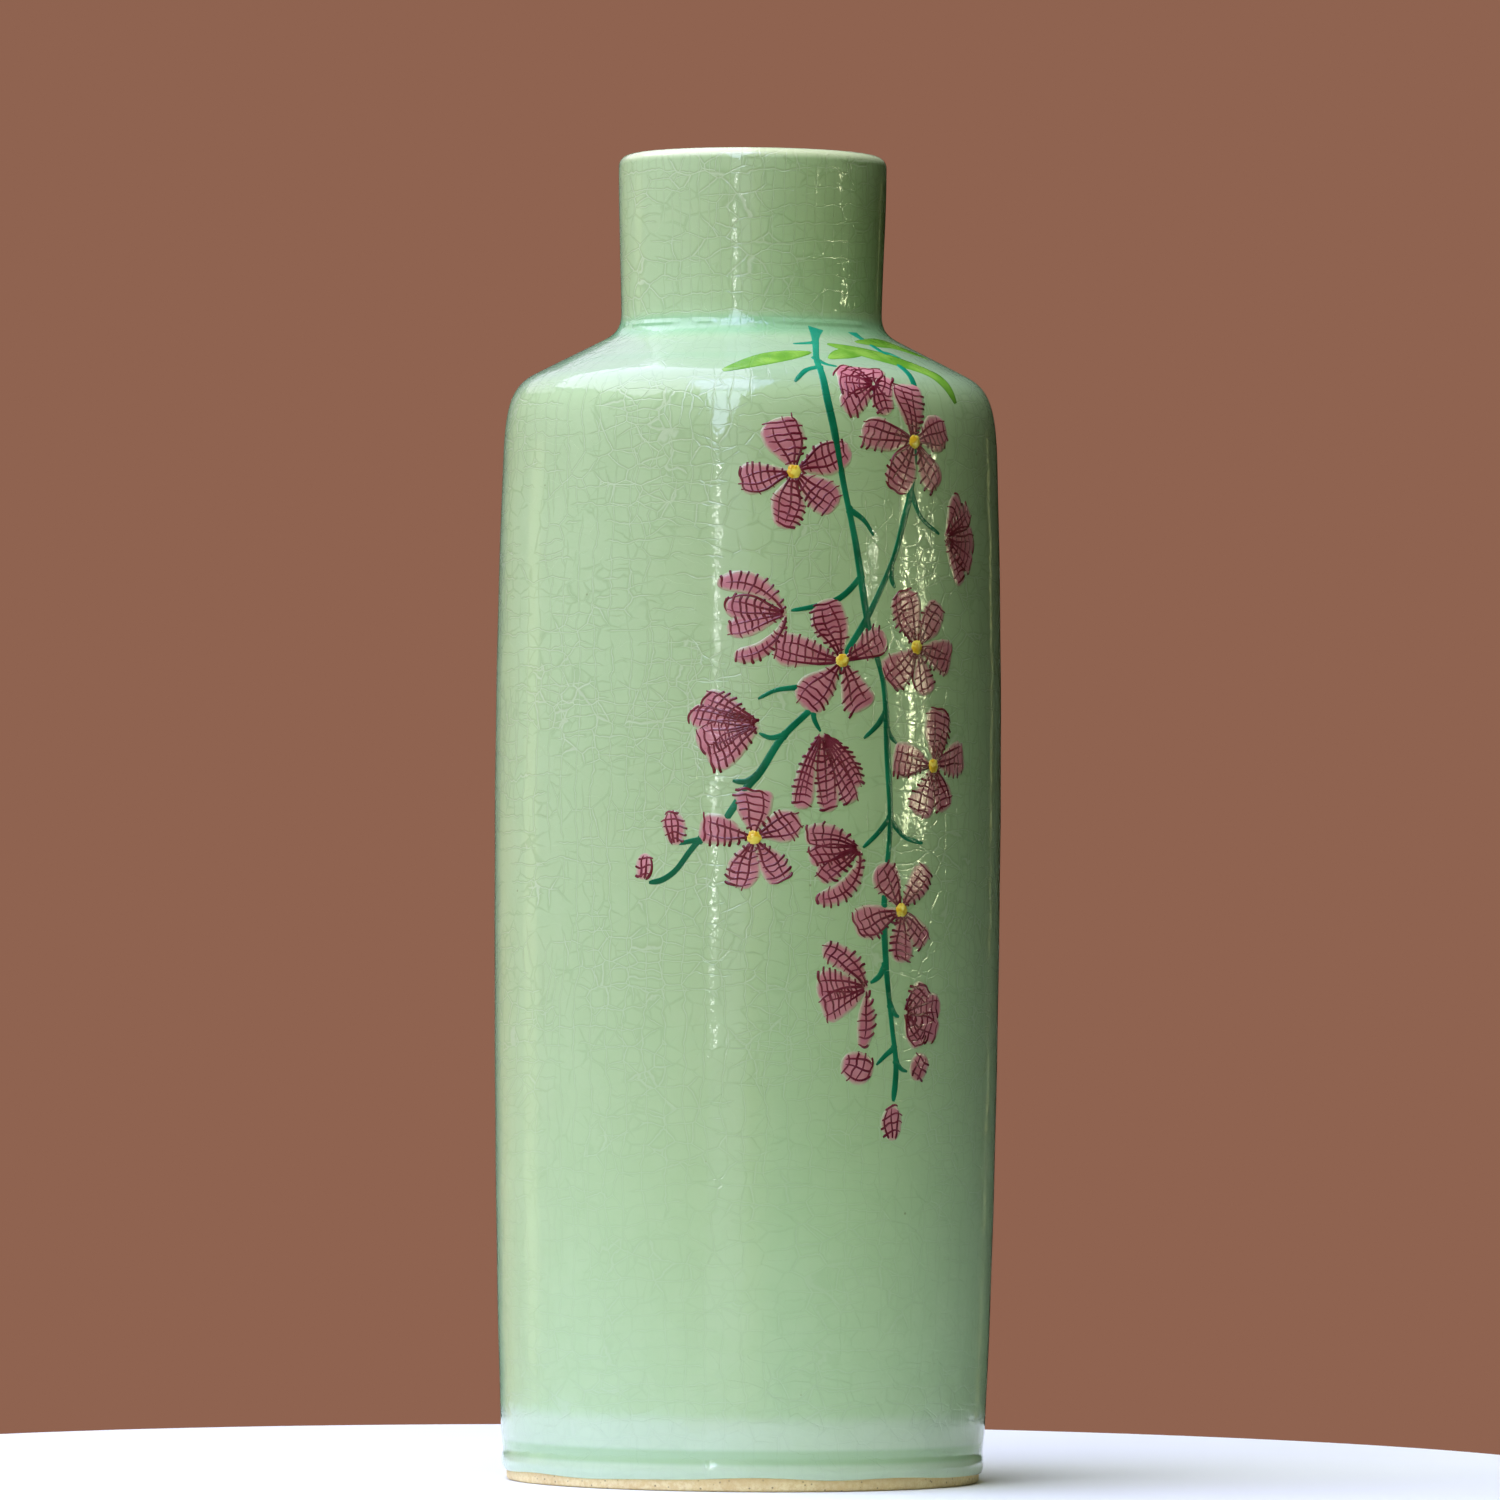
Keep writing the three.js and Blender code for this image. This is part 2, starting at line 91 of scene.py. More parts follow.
# Flowers seen from the side: where they hang, then each petal's angle, length, half width and bend.
SIDE_FLOWERS = [
    (20.8, 166.8, [(182, 6.4, 2.4, 0), (150, 6.6, 2.4, 0), (96, 4, 3, -15), (215, 7.4, 2.1, 0),
                   (-5, 3.8, 2.2, -10), (-70, 5.2, 1.9, 0)]),
    (5.5, 131.5, [(115, 12.4, 1.6, 85), (172, 9.4, 1.9, 0), (196, 9.2, 1.7, 0), (262, 11, 1.3, -88)]),
    (1.4, 114.9, [(150, 9.2, 2, 10), (172, 10.4, 1.9, 0), (196, 9.6, 2.5, 0), (222, 9.2, 2.6, -14)]),
    (11.2, 113.6, [(-118, 11.8, 1.7, 26), (-84, 11.7, 1.9, 0), (-64, 11.4, 1.7, 0), (-40, 10, 1.7, -25)]),
    (34.2, 143.8, [(60, 7.4, 1.6, 0), (32, 8.2, 2.1, 0), (0, 8, 2.3, 0), (-30, 8.4, 2.1, 0),
                   (-58, 8.2, 1.6, 0)]),
    (17.3, 96.6, [(150, 9, 1.9, 40), (190, 8.2, 1.9, 0), (216, 8, 1.8, 0), (-78, 12, 1.5, -110)]),
    (18.8, 75.5, [(112, 9.8, 1.9, 60), (176, 8.2, 2.6, 0), (206, 8, 2.4, 0), (-84, 9, 1.5, -20)]),
    (26, 72, [(42, 5.8, 2, 0), (8, 7.6, 2.4, 0), (-24, 7.6, 2.4, 0), (-58, 6, 2, 0)]),
]

# Buds: the centre, half length, half width and tilt.
BUDS = [
    (-11.1, 99.4, 2.6, 1.8, 100),
    (-15.9, 93.6, 2, 1.4, 80),
    (17.4, 63.7, 2.8, 2.5, 170),
    (28.9, 63.8, 2.2, 1.9, 60),
    (23.7, 55.4, 2.7, 1.9, 90),
]

# Stems: the route of each, then its twigs, which start inside it.
STEMS = {
    "main_stem": (
        [(18.7, 184.6), (15.6, 180.2), (12.5, 173), (12, 166), (13.2, 159), (14.6, 151.4), (16.6, 142.3),
         (18.8, 129.7), (21.4, 121.2), (22.2, 110), (22.7, 100), (21.8, 88.5), (22.2, 79.4), (23.4, 70.3),
         (24.3, 64), (23.9, 58.6)],
        [[(15.2, 179.6), (12.5, 179.2), (9.5, 178.9)],
         [(12.2, 170.5), (9.5, 169.4), (7.1, 166.8)],
         [(12.4, 173.6), (13.6, 171.6), (15.7, 170.7)],
         [(15.6, 147.4), (18, 145.9), (19.7, 143.6)],
         [(17.5, 137.5), (15.4, 135.2), (13, 133.6), (9.2, 132.6), (6.3, 132.1)],
         [(21.8, 117), (20.2, 115), (18, 113.1)],
         [(22, 114.8), (22.8, 113.4), (23.9, 112.4)],
         [(22.6, 101.2), (20.4, 98.8), (18, 96.7)],
         [(22.7, 101), (25.4, 98.4), (29.1, 97.5)],
         [(22, 79), (21, 77.4), (19.5, 76.4)],
         [(23.1, 73), (23.9, 71.8), (24.8, 71.3)],
         [(23.9, 66.6), (22.4, 65.6), (20.7, 64.1)],
         [(24.3, 64.6), (25.3, 63.5), (26.5, 63.1)]]),
    "upper_side_stem": (
        [(30.9, 184), (31.1, 176.9), (29.8, 170.3), (28.6, 163), (26.9, 151.5), (25.3, 146.1),
         (23.3, 140.4), (20.4, 134.6), (18.6, 131.4), (16.4, 127.9), (14.8, 125.6)],
        [[(31.1, 177), (33.2, 176.4), (34.2, 174.6)],
         [(22.7, 138.7), (22.9, 137), (23.5, 135.8)],
         [(26.7, 150.8), (28.7, 146.7), (32.8, 144.2)]]),
    "lower_side_stem": (
        [(14.4, 124.7), (12.4, 121.2), (9.8, 117.7), (5.2, 113.2), (1.9, 108), (-0.1, 105.6), (-2.6, 101.8),
         (-4.6, 98.8), (-7.1, 97.6), (-8.6, 96), (-10.8, 93.1), (-13, 91.6), (-15.1, 91.2)],
        [[(9.8, 117.9), (10, 115.8), (11, 114)],
         [(5.4, 113.4), (3.3, 113), (1.6, 113.7)],
         [(1.2, 107.2), (-0.4, 106.4), (-2.3, 106.5)],
         [(12.2, 121.4), (9.5, 120.8), (6.6, 120.5), (4, 120.1), (1.4, 118.8)],
         [(-7, 97.7), (-8.8, 97.4), (-10.4, 97)]]),
}

# Leaves: one or more brush strokes each, with the stroke's half width.
LEAVES = {
    "left_leaf": [([(12.4, 175.9), (3.5, 173.4), (-4.8, 169)], 2)],
    "right_leaf": [
        ([(18, 179.2), (24.4, 176.8), (30.8, 174.1), (35.5, 170.8), (37.4, 167.8), (38.6, 164.3)], 2.4),
        ([(15.2, 173.6), (18.6, 175.2), (23.4, 176.6), (27, 176.2)], 1.7)],
    "back_leaf": [([(27, 180.4), (33, 180.5), (40, 180.2), (48, 176)], 1.8)],
}


# ---- camera and stage ----
CAMERA_HEIGHT = 0.0825
CAMERA_DISTANCE = 1.585
CAMERA_ASIDE = 0.0005
CAMERA_LENS = 248  # millimetres, on a 36 mm sensor
CAMERA_TILT = 1.06  # degrees above the horizon
CAMERA_ROLL = -0.45  # degrees


def add_object(name, data):
    made = bpy.data.objects.new(name, data)
    bpy.context.collection.objects.link(made)
    return made


def make_camera():
    data = bpy.data.cameras.new("camera")
    data.lens = CAMERA_LENS
    data.sensor_width = 36
    camera = add_object("camera", data)
    camera.location = (CAMERA_ASIDE, -CAMERA_DISTANCE, CAMERA_HEIGHT)
    camera.rotation_euler = (math.radians(90 + CAMERA_TILT), math.radians(CAMERA_ROLL), 0)
    bpy.context.scene.camera = camera
    bpy.context.scene.view_settings.view_transform = "Standard"


make_camera()


# ---- profiles ----
class Profile:
    """A smooth open line of (radius, height) points, read by the length along it."""

    def __init__(self, start, pieces, steps):
        points = [np.array([start], float)]
        for (a, b, end), count in zip(pieces, steps):
            t = np.linspace(0, 1, count + 1)[1:, None]
            first = points[-1][-1]
            curve = (1 - t) ** 3 * first + 3 * (1 - t) ** 2 * t * np.array(a)
            curve += 3 * (1 - t) * t**2 * np.array(b) + t**3 * np.array(end)
            points.append(curve)
        self.points = np.concatenate(points)
        spans = np.linalg.norm(np.diff(self.points, axis=0), axis=1)
        self.lengths = np.concatenate([[0], np.cumsum(spans)])

    def at(self, length):
        radius = np.interp(length, self.lengths, self.points[:, 0])
        height = np.interp(length, self.lengths, self.points[:, 1])
        return radius, height

    def outward(self, length):
        """The outward normal's radial and upward parts, for a line that runs up the outside."""
        reach = 0.2  # millimetres to either side
        r0, z0 = self.at(length - reach)
        r1, z1 = self.at(length + reach)
        size = np.hypot(r1 - r0, z1 - z0)
        return (z1 - z0) / size, (r0 - r1) / size

    def moved_in(self, thickness):
        """The same points, moved square to the line, away from its right side."""
        radial, upward = self.outward(self.lengths)
        return self.points - thickness * np.stack([radial, upward], axis=1)


SKIN_PIECES = [
    ((37.3, 10), (38.6, 40), (WALL_RADIUS, MID_HEIGHT)),
    ((38.9, 118), (38.5, 140), (SHOULDER_RADIUS, SHOULDER_HEIGHT)),
    ((37.6, 163.5), (37, 167), (33.6, 168.9)),
    ((30, 170.8), (26.5, 172.5), (23.2, 174.2)),
    ((20.7, 175.4), (19.8, 176.4), (19.95, 179.5)),
    ((20.1, 186), (NECK_RADIUS, 192), (NECK_RADIUS, HEIGHT - 1.8)),
    ((NECK_RADIUS, HEIGHT - 0.7), (19.7, HEIGHT), (LIP_CREST_RADIUS, HEIGHT)),
]
CAVITY_PIECES = [
    ((17.4, HEIGHT), (16.9, HEIGHT - 0.7), (16.9, HEIGHT - 1.8)),
    ((16.8, 194), (16.3, 186), (16.3, 178.5)),
    ((16.3, 174.5), (17.6, 172.7), (19.8, 171.6)),
    ((23, 170), (27, 168), (30.6, 166.2)),
    ((33.2, 164.9), (33.7, 162), (33.9, SHOULDER_HEIGHT)),
    ((34.4, 140), (34.7, 118), (34.7, MID_HEIGHT)),
    ((34.6, 60), (34.1, 30), (33, 16)),
    ((32.4, 11), (30.5, FLOOR_HEIGHT + 0.5), (26, FLOOR_HEIGHT)),
]
GLAZE_LINE = (GLAZE_LINE_RADIUS, GLAZE_LINE_HEIGHT)
CREST = (LIP_CREST_RADIUS, HEIGHT)
FINE_SKIN = Profile(GLAZE_LINE, SKIN_PIECES, [400] * len(SKIN_PIECES))
SKIN = Profile(GLAZE_LINE, SKIN_PIECES, [32, 12, 28, 10, 16, 12, 12])
CAVITY = Profile(CREST, CAVITY_PIECES, [8, 8, 8, 6, 8, 10, 10, 10])


def wobble(angle, height):
    """How far the thrown wall strays from a true circle."""
    slow = 0.05 * np.sin(2 * angle + 0.7 + height / 55)
    lean = 0.03 * np.sin(3 * angle - 1.1 - height / 31)
    rings = 0.02 * np.sin(height / 3.1 + 0.6 * np.sin(angle))
    return slow + lean + rings


def in_space(radius, angle, height):
    """Points in metres from cylinder coordinates in millimetres, with the wall's own wobble."""
    wall = np.clip(radius / 12, 0, 1)  # the wobble dies away towards the axis
    true_radius = radius + wobble(angle, height) * wall
    return MM * np.stack([true_radius * np.sin(angle), -true_radius * np.cos(angle), height], axis=-1)


def spread(up):
    """The arc across, at WALL_RADIUS, that covers one real millimetre at this place."""
    return WALL_RADIUS / FINE_SKIN.at(up - GLAZE_LINE_HEIGHT)[0]


def on_vase(across, up, lift):
    length = up - GLAZE_LINE_HEIGHT
    radius, height = FINE_SKIN.at(length)
    radial, upward = FINE_SKIN.outward(length)
    return in_space(radius + radial * lift, across / WALL_RADIUS, height + upward * lift)


# ---- meshes ----
def add_piece(name, points, faces, material, replaced=(), attributes=None):
    mesh = bpy.data.meshes.new(name)
    mesh.from_pydata(points.tolist(), [], faces)
    for label, values in (attributes or {}).items():
        mesh.attributes.new(label, "FLOAT", "POINT").data.foreach_set("value", values)
    mesh.materials.append(material)
    mesh.shade_smooth()
    mesh.set_sharp_from_angle(angle=math.radians(50))
    piece = add_object(name, mesh)
    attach(piece, "root")
    if replaced:
        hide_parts(*replaced)


def turned(outline, segments, waver=None):
    """Points and faces of a solid of revolution, from an outline that goes round anticlockwise. Points on
    the axis become poles. waver moves the outline's heights round the vase."""
    angles = np.linspace(0, 2 * math.pi, segments, endpoint=False)
    points, rings = [], []
    for radius, height in outline:
        first = len(points)
        if radius == 0:
            points.append((0, 0, height * MM))
            rings.append([first] * segments)
            continue
        heights = np.full(segments, float(height))
        if waver:
            heights = heights + waver(angles, height)
        points.extend(in_space(np.full(segments, float(radius)), angles, heights).tolist())
        rings.append(list(range(first, first + segments)))
    closed = outline[0][0] != 0
    faces = []
    for low, high in zip(rings, rings[1:] + rings[:1] if closed else rings[1:]):
        for j in range(segments):
            k = (j + 1) % segments
            corners = dict.fromkeys((low[j], low[k], high[k], high[j]))
            faces.append(tuple(corners))
    return np.array(points), faces


# ---- materials ----
class Nodes:
    """Short ways to add shader nodes to a node tree."""

    def __init__(self, tree):
        self.tree = tree

    def feed(self, socket, value):
        if isinstance(value, bpy.types.NodeSocket):
            self.tree.links.new(value, socket)
        else:
            socket.default_value = value

    def node(self, kind, settings=None, **inputs):
        made = self.tree.nodes.new("ShaderNode" + kind)
        for name, value in (settings or {}).items():
            setattr(made, name, value)
        for name, value in inputs.items():
            self.feed(made.inputs[name.replace("_", " ")], value)
        return made

    def math(self, operation, *values):
        made = self.node("Math", {"operation": operation})
        for socket, value in zip(made.inputs, values):
            self.feed(socket, value)
        return made.outputs[0]

    def vector(self, operation, *values):
        made = self.node("VectorMath", {"operation": operation})
        for socket, value in zip(made.inputs, values):
            self.feed(socket, value)
        return made.outputs["Value" if operation == "DOT_PRODUCT" else "Vector"]

    def times(self, vector, factor):
        made = self.node("VectorMath", {"operation": "SCALE"}, Scale=factor)
        self.feed(made.inputs[0], vector)
        return made.outputs["Vector"]

    def ease(self, value, low, high, start=0.0, end=1.0):
        """start up to low, end from high on, and a smooth change between them."""
        made = self.node("MapRange", {"interpolation_type": "SMOOTHSTEP"}, Value=value)
        for name, number in (("From Min", low), ("From Max", high), ("To Min", start), ("To Max", end)):
            self.feed(made.inputs[name], number)
        return made.outputs["Result"]

    def mix(self, factor, a, b):
        """A colour from a, where factor is 0, to b, where it is 1."""
        made = self.node("Mix", {"data_type": "RGBA"})
        for index, value in ((0, factor), (6, a), (7, b)):
            self.feed(made.inputs[index], value)
        return made.outputs[2]


class Finish(Nodes):
    """A material in the making."""

    def __init__(self, name, roughness, ior=1.5):
        self.material = bpy.data.materials.new(name)
        self.material.use_nodes = True
        super().__init__(self.material.node_tree)
        self.shader = self.tree.nodes["Principled BSDF"]
        self.shader.inputs["Roughness"].default_value = roughness
        self.shader.inputs["IOR"].default_value = ior
        self.place = self.node("TexCoord").outputs["Object"]
        self.height = self.node("SeparateXYZ", Vector=self.place).outputs["Z"]

    def noise(self, size, detail=2.0, roughness=0.5, place=None, colour=False):
        """Noise whose blotches are about this many millimetres across."""
        made = self.node("TexNoise", Vector=place or self.place, Scale=0.6 / (size * MM), Detail=detail,
                         Roughness=roughness)
        return made.outputs[1 if colour else 0]

    def attribute(self, name):
        return self.node("Attribute", {"attribute_name": name}).outputs["Fac"]

    def bump(self, height):
        """height is in metres."""
        made = self.node("Bump", Strength=1.0, Distance=1.0, Height=height)
        self.feed(self.shader.inputs["Normal"], made.outputs["Normal"])

    def rim(self, reach):
        """1 at the edge of a brush stroke, falling to 0 at this depth inside it."""
        return self.ease(self.attribute("edge"), 0.0, reach, 1.0, 0.0)

    def spots(self, spacing, core, rim):
        """1 in small spots about this many millimetres apart, 0 between them."""
        cells = self.node("TexVoronoi", Vector=self.place, Scale=1 / (spacing * MM))
        return self.ease(cells.outputs["Distance"], core, rim, 1.0, 0.0)

    def tint(self, where, strength, tint):
        """Lays a tint over the colour so far, as much of it as where times strength says."""
        self.colour = self.mix(self.math("MULTIPLY", where, strength), self.colour, tint)

    def done(self):
        self.feed(self.shader.inputs["Base Color"], self.colour)
        return self.material


# Crackle networks: the cells' size across, how much wider than tall they are, how much further off the cracks
# count where patches hide them, and a shift, in metres, that sets the networks apart.
CRACKLE = [
    (4.8, 1.6, 0.4, 0.31),
    (3.9, 0.8, 0.8, 0.57),
]
LEVEL_SPACING = 2.7  # between wavy level cracks
UPRIGHT_COUNT = 78  # wavy upright cracks round the vase
CRACK_WIDTH = 0.1  # millimetres
CRACK_SHADE_REACH = 0.34  # painted shade darkens the glaze this far from a crack
CRACK_SHOULDER = 0.16  # the glaze dips towards a crack from this far away
CRACK_DEPTH = 0.02
CRACK_GAP = 0.6  # where a running crack breaks off, it counts as this much further off
CLOSED_HEIGHT, OPEN_HEIGHT = 0.03, 0.10  # metres: the cracks open up from the first height to the second
CLOSED_STRENGTH = 0.35  # how clearly closed cracks still show
WRINKLE_SIZE, WRINKLE_HEIGHT = 0.5, 0.018  # fine wrinkles, which break the reflections into sparks
WAVE_SIZE, WAVE_HEIGHT = 5, 0.03  # slow waves
CELL_TILT = 0.012  # slope of the glaze from one cell of crackle to the next
CELADON_BASE = (0.425, 0.60, 0.345, 1)


def running_cracks(finish, along, spacing, waver, gaps):
    """Each point's distance in millimetres from the nearest of a row of wavy, broken cracks."""
    level = finish.math("MULTIPLY_ADD", finish.noise(11, 4, 0.68), waver, along)
    distance = finish.math("MULTIPLY", finish.math("PINGPONG", level, 0.5), spacing)
    return finish.math("MULTIPLY_ADD", gaps, CRACK_GAP, distance)


def level_cracks(finish):
    along = finish.math("MULTIPLY", finish.height, 1 / (LEVEL_SPACING * MM))
    gaps = finish.ease(finish.noise(6.5, 2), 0.48, 0.6)
    return running_cracks(finish, along, LEVEL_SPACING, 2.3, gaps)


def upright_cracks(finish):
    parts = finish.node("SeparateXYZ", Vector=finish.place).outputs
    around = finish.math("ARCTAN2", parts["X"], finish.math("MULTIPLY", parts["Y"], -1.0))
    along = finish.math("MULTIPLY", around, UPRIGHT_COUNT / math.tau)
    gaps = finish.ease(finish.noise(14, 3), 0.5, 0.64)
    return running_cracks(finish, along, math.tau * WALL_RADIUS / UPRIGHT_COUNT, 2.0, gaps)


def crackle_network(finish, cell, flattening, hidden, shift):
    """Each point's distance in millimetres from a crack, and the tilt of its own cell."""
    bend = finish.vector("SUBTRACT", finish.noise(cell * 2, 3, 0.6, colour=True), (0.5, 0.5, 0.5))
    place = finish.vector("ADD", finish.place, finish.times(bend, cell * 0.5 * MM))
    waver = finish.vector("SUBTRACT", finish.noise(1.7, 2, colour=True), (0.5, 0.5, 0.5))
    place = finish.vector("ADD", place, finish.times(waver, 0.9 * MM))
    place = finish.vector("ADD", place, (shift, shift / 2, -shift))
    place = finish.vector("MULTIPLY", place, (1, 1, flattening))
    scale = 1 / (cell * MM)
    edges = finish.node("TexVoronoi", {"feature": "DISTANCE_TO_EDGE"}, Vector=place, Scale=scale,
                        Randomness=0.8)
    distance = finish.math("MULTIPLY", edges.outputs["Distance"], cell / flattening)
    patches = finish.ease(finish.noise(cell * 2.2, 2, place=place), 0.42, 0.66)
    distance = finish.math("MULTIPLY_ADD", patches, hidden, distance)
    cells = finish.node("TexVoronoi", Vector=place, Scale=scale, Randomness=0.8)
    tilt = finish.vector("SUBTRACT", cells.outputs["Color"], (0.5, 0.5, 0.5))
    from_middle = finish.vector("SUBTRACT", place, cells.outputs["Position"])
    slope = finish.vector("DOT_PRODUCT", tilt, from_middle)
    return distance, finish.math("MULTIPLY", slope, CELL_TILT)


def crackle_relief(finish):
    """How strongly each point is on a crack or near one, and the height of the crackled glaze, in metres. The
    pale line on a crack is partly its own colour and partly a painted highlight; near a crack the glaze takes
    painted shade.
    """
    networks = [crackle_network(finish, *network) for network in CRACKLE]
    distance = finish.math("MINIMUM", level_cracks(finish), upright_cracks(finish))
    relief = finish.math("MULTIPLY", finish.noise(WRINKLE_SIZE, 1), WRINKLE_HEIGHT * MM)
    for other_distance, other_relief in networks:
        distance = finish.math("MINIMUM", distance, other_distance)
        relief = finish.math("ADD", relief, other_relief)
    open_here = finish.ease(finish.height, CLOSED_HEIGHT, OPEN_HEIGHT, CLOSED_STRENGTH, 1.0)
    # pale crack lines: partly the cracks' own colour, partly a painted highlight along their edges
    crack = finish.ease(distance, CRACK_WIDTH * 0.3, CRACK_WIDTH, open_here, 0.0)
    # painted shade in a band beside each crack
    crack_shade = finish.ease(distance, CRACK_WIDTH, CRACK_SHADE_REACH, open_here, 0.0)
    depth = finish.math("MULTIPLY", open_here, CRACK_DEPTH * MM)
    relief = finish.math("ADD", relief, finish.ease(distance, 0, CRACK_SHOULDER, 0.0, depth))
    relief = finish.math("MULTIPLY_ADD", finish.noise(WAVE_SIZE, 2), WAVE_HEIGHT * MM, relief)
    return crack, crack_shade, relief


# Bands of the glaze: from and to which height, and how softly, in metres.
# painted shade on the shoulder's upward slope
SHADED_SLOPE = (0.1665, 0.1745, 0.002)
SLOPE_EDGE = (0.1703, 0.1713, 0.0004)
POOL = (0.1745, 0.1775, 0.0009)  # where the glaze has run together at the bottom of the neck
RIDGE = (0.1762, 0.1768, 0.0004)  # a broken ridge in the pool
RIDGE_HEIGHT = 0.17  # millimetres
FOOT_STRIPE = (0.0040, 0.0062, 0.0004)
LIP = (0.2012, 0.2024)  # the glaze pales from the first height to the second
FOOT_TABLE_REFLECTION = (0.0098, 0.0120)  # and, as a painted reflection of the pale table, from the second of these down to the first


def band(finish, low, high, soft):
    """1 between two heights, fading to 0 outside them."""
    rise = finish.ease(finish.height, low - soft, low + soft)
    return finish.math("MULTIPLY", rise, finish.ease(finish.height, high - soft, high + soft, 1.0, 0.0))


def celadon():
    finish = Finish("celadon_crackle_glaze", roughness=0.06, ior=1.55)
    crack, crack_shade, relief = crackle_relief(finish)
    clouds = finish.ease(finish.noise(40, 3, 0.55), 0.35, 0.65)
    finish.colour = finish.mix(clouds, CELADON_BASE, (0.45, 0.63, 0.37, 1))
    freckles = finish.ease(finish.noise(2.2, 2), 0.3, 0.7)
    finish.tint(freckles, 0.16, (0.34, 0.54, 0.27, 1))
    # painted shade beside the cracks
    finish.tint(crack_shade, 0.42, (0.28, 0.44, 0.22, 1))
    # pale crack lines, partly their own colour and partly painted highlight
    finish.tint(crack, 0.46, (0.61, 0.73, 0.54, 1))
    finish.tint(finish.spots(9, 0.014, 0.028), 0.5, (0.16, 0.15, 0.06, 1))
    # painted shade: the glaze on the shoulder's upward slope is darkened
    finish.tint(band(finish, *SHADED_SLOPE), 0.85, (0.315, 0.455, 0.305, 1))
    finish.tint(band(finish, *SLOPE_EDGE), 0.35, (0.27, 0.47, 0.28, 1))
    finish.tint(band(finish, *POOL), 0.62, (0.17, 0.45, 0.24, 1))
    lip = finish.ease(finish.height, *LIP)
    finish.tint(lip, 0.6, (0.66, 0.68, 0.46, 1))
    # painted reflection of the pale table: the glaze pales towards the foot
    foot = finish.ease(finish.height, *FOOT_TABLE_REFLECTION, 1.0, 0.0)
    finish.tint(foot, 0.34, (0.60, 0.70, 0.60, 1))
    finish.tint(band(finish, *FOOT_STRIPE), 0.7, (0.32, 0.52, 0.27, 1))
    broken = finish.ease(finish.noise(4, 3), 0.4, 0.6, 0.0, RIDGE_HEIGHT * MM)
    ridge = finish.math("MULTIPLY", band(finish, *RIDGE), broken)
    finish.bump(finish.math("ADD", relief, ridge))
    return finish.done()


def bare_clay():
    finish = Finish("sandy_stoneware", roughness=0.75)
    grain = finish.noise(0.5, 3, 0.7)
    finish.colour = finish.mix(finish.ease(grain, 0.3, 0.7), (0.77, 0.60, 0.27, 1), (0.91, 0.78, 0.43, 1))
    stain = finish.ease(finish.noise(7, 2), 0.4, 0.65)
    finish.tint(stain, 0.4, (0.62, 0.44, 0.20, 1))
    finish.tint(finish.spots(1.1, 0.10, 0.18), 0.7, (0.20, 0.12, 0.06, 1))
    flash = finish.ease(finish.height, 0.0009, 0.0019)
    finish.tint(flash, 0.6, (0.68, 0.48, 0.21, 1))
    finish.bump(finish.math("MULTIPLY", grain, 0.05 * MM))
    return finish.done()


def enamel(name, roughness=0.13):
    """An enamel over the crackled glaze, whose relief it takes on."""
    finish = Finish(name, roughness)
    finish.bump(crackle_relief(finish)[2])
    return finish


def petal_enamel():
    finish = enamel("mauve_enamel")
    blotch = finish.ease(finish.noise(2.4, 3, 0.6), 0.35, 0.68)
    finish.colour = finish.mix(blotch, (0.42, 0.135, 0.16, 1), (0.58, 0.26, 0.29, 1))
    finish.tint(finish.attribute("tone"), 0.5, (0.60, 0.22, 0.32, 1))
    ragged = finish.math("MULTIPLY", finish.rim(0.9), finish.ease(finish.noise(0.7, 2), 0.3, 0.6, 0.45, 1.0))
    finish.colour = finish.mix(ragged, finish.colour, (0.46, 0.52, 0.35, 1))
    return finish.done()


def vein_enamel():
    finish = enamel("maroon_line_enamel")
    finish.colour = finish.mix(finish.attribute("tone"), (0.22, 0.028, 0.05, 1), (0.08, 0.003, 0.012, 1))
    thin = finish.ease(finish.noise(0.9, 2), 0.45, 0.7)
    finish.tint(thin, 0.3, (0.30, 0.07, 0.12, 1))
    return finish.done()


def eye_enamel():
    finish = enamel("yellow_enamel", roughness=0.22)
    mottle = finish.ease(finish.noise(0.6, 2), 0.4, 0.6)
    finish.colour = finish.mix(mottle, (0.70, 0.43, 0.02, 1), (0.90, 0.76, 0.13, 1))
    finish.tint(finish.rim(0.4), 0.55, (0.60, 0.42, 0.05, 1))
    return finish.done()


def stem_enamel():
    finish = enamel("green_stem_enamel", roughness=0.16)
    finish.shader.inputs["Specular IOR Level"].default_value = 0.25
    thick = finish.ease(finish.noise(3.5, 2), 0.35, 0.7)
    finish.colour = finish.mix(thick, (0.003, 0.11, 0.05, 1), (0.008, 0.19, 0.095, 1))
    upper = finish.ease(finish.height, 0.158, 0.178)
    finish.tint(upper, 0.8, (0.012, 0.33, 0.21, 1))
    finish.tint(finish.rim(0.5), 0.4, (0.05, 0.38, 0.22, 1))
    return finish.done()


def leaf_enamel():
    finish = enamel("lime_leaf_enamel", roughness=0.1)
    streak = finish.ease(finish.noise(2.5, 3), 0.35, 0.7)
    finish.colour = finish.mix(streak, (0.12, 0.33, 0.03, 1), (0.24, 0.47, 0.07, 1))
    finish.tint(finish.rim(0.6), 0.6, (0.08, 0.27, 0.03, 1))
    return finish.done()


# ---- the pot ----
GLAZE_SEGMENTS = 440
CLAY_SEGMENTS = 300
CLAY_GAP = 0.02  # keeps the clay's surface just off the back of the glaze


def glaze_line_wave(angle, height):
    """The lower edge of the glaze wavers, and the wall above it soon runs true."""
    fade = np.clip(1 - (height - GLAZE_LINE_HEIGHT) / 4, 0, 1) ** 2
    wave = 0.5 * np.sin(3 * angle + 1) + 0.3 * np.sin(7 * angle + 2) + 0.2 * np.sin(11 * angle + 0.5)
    return 0.45 * wave * fade


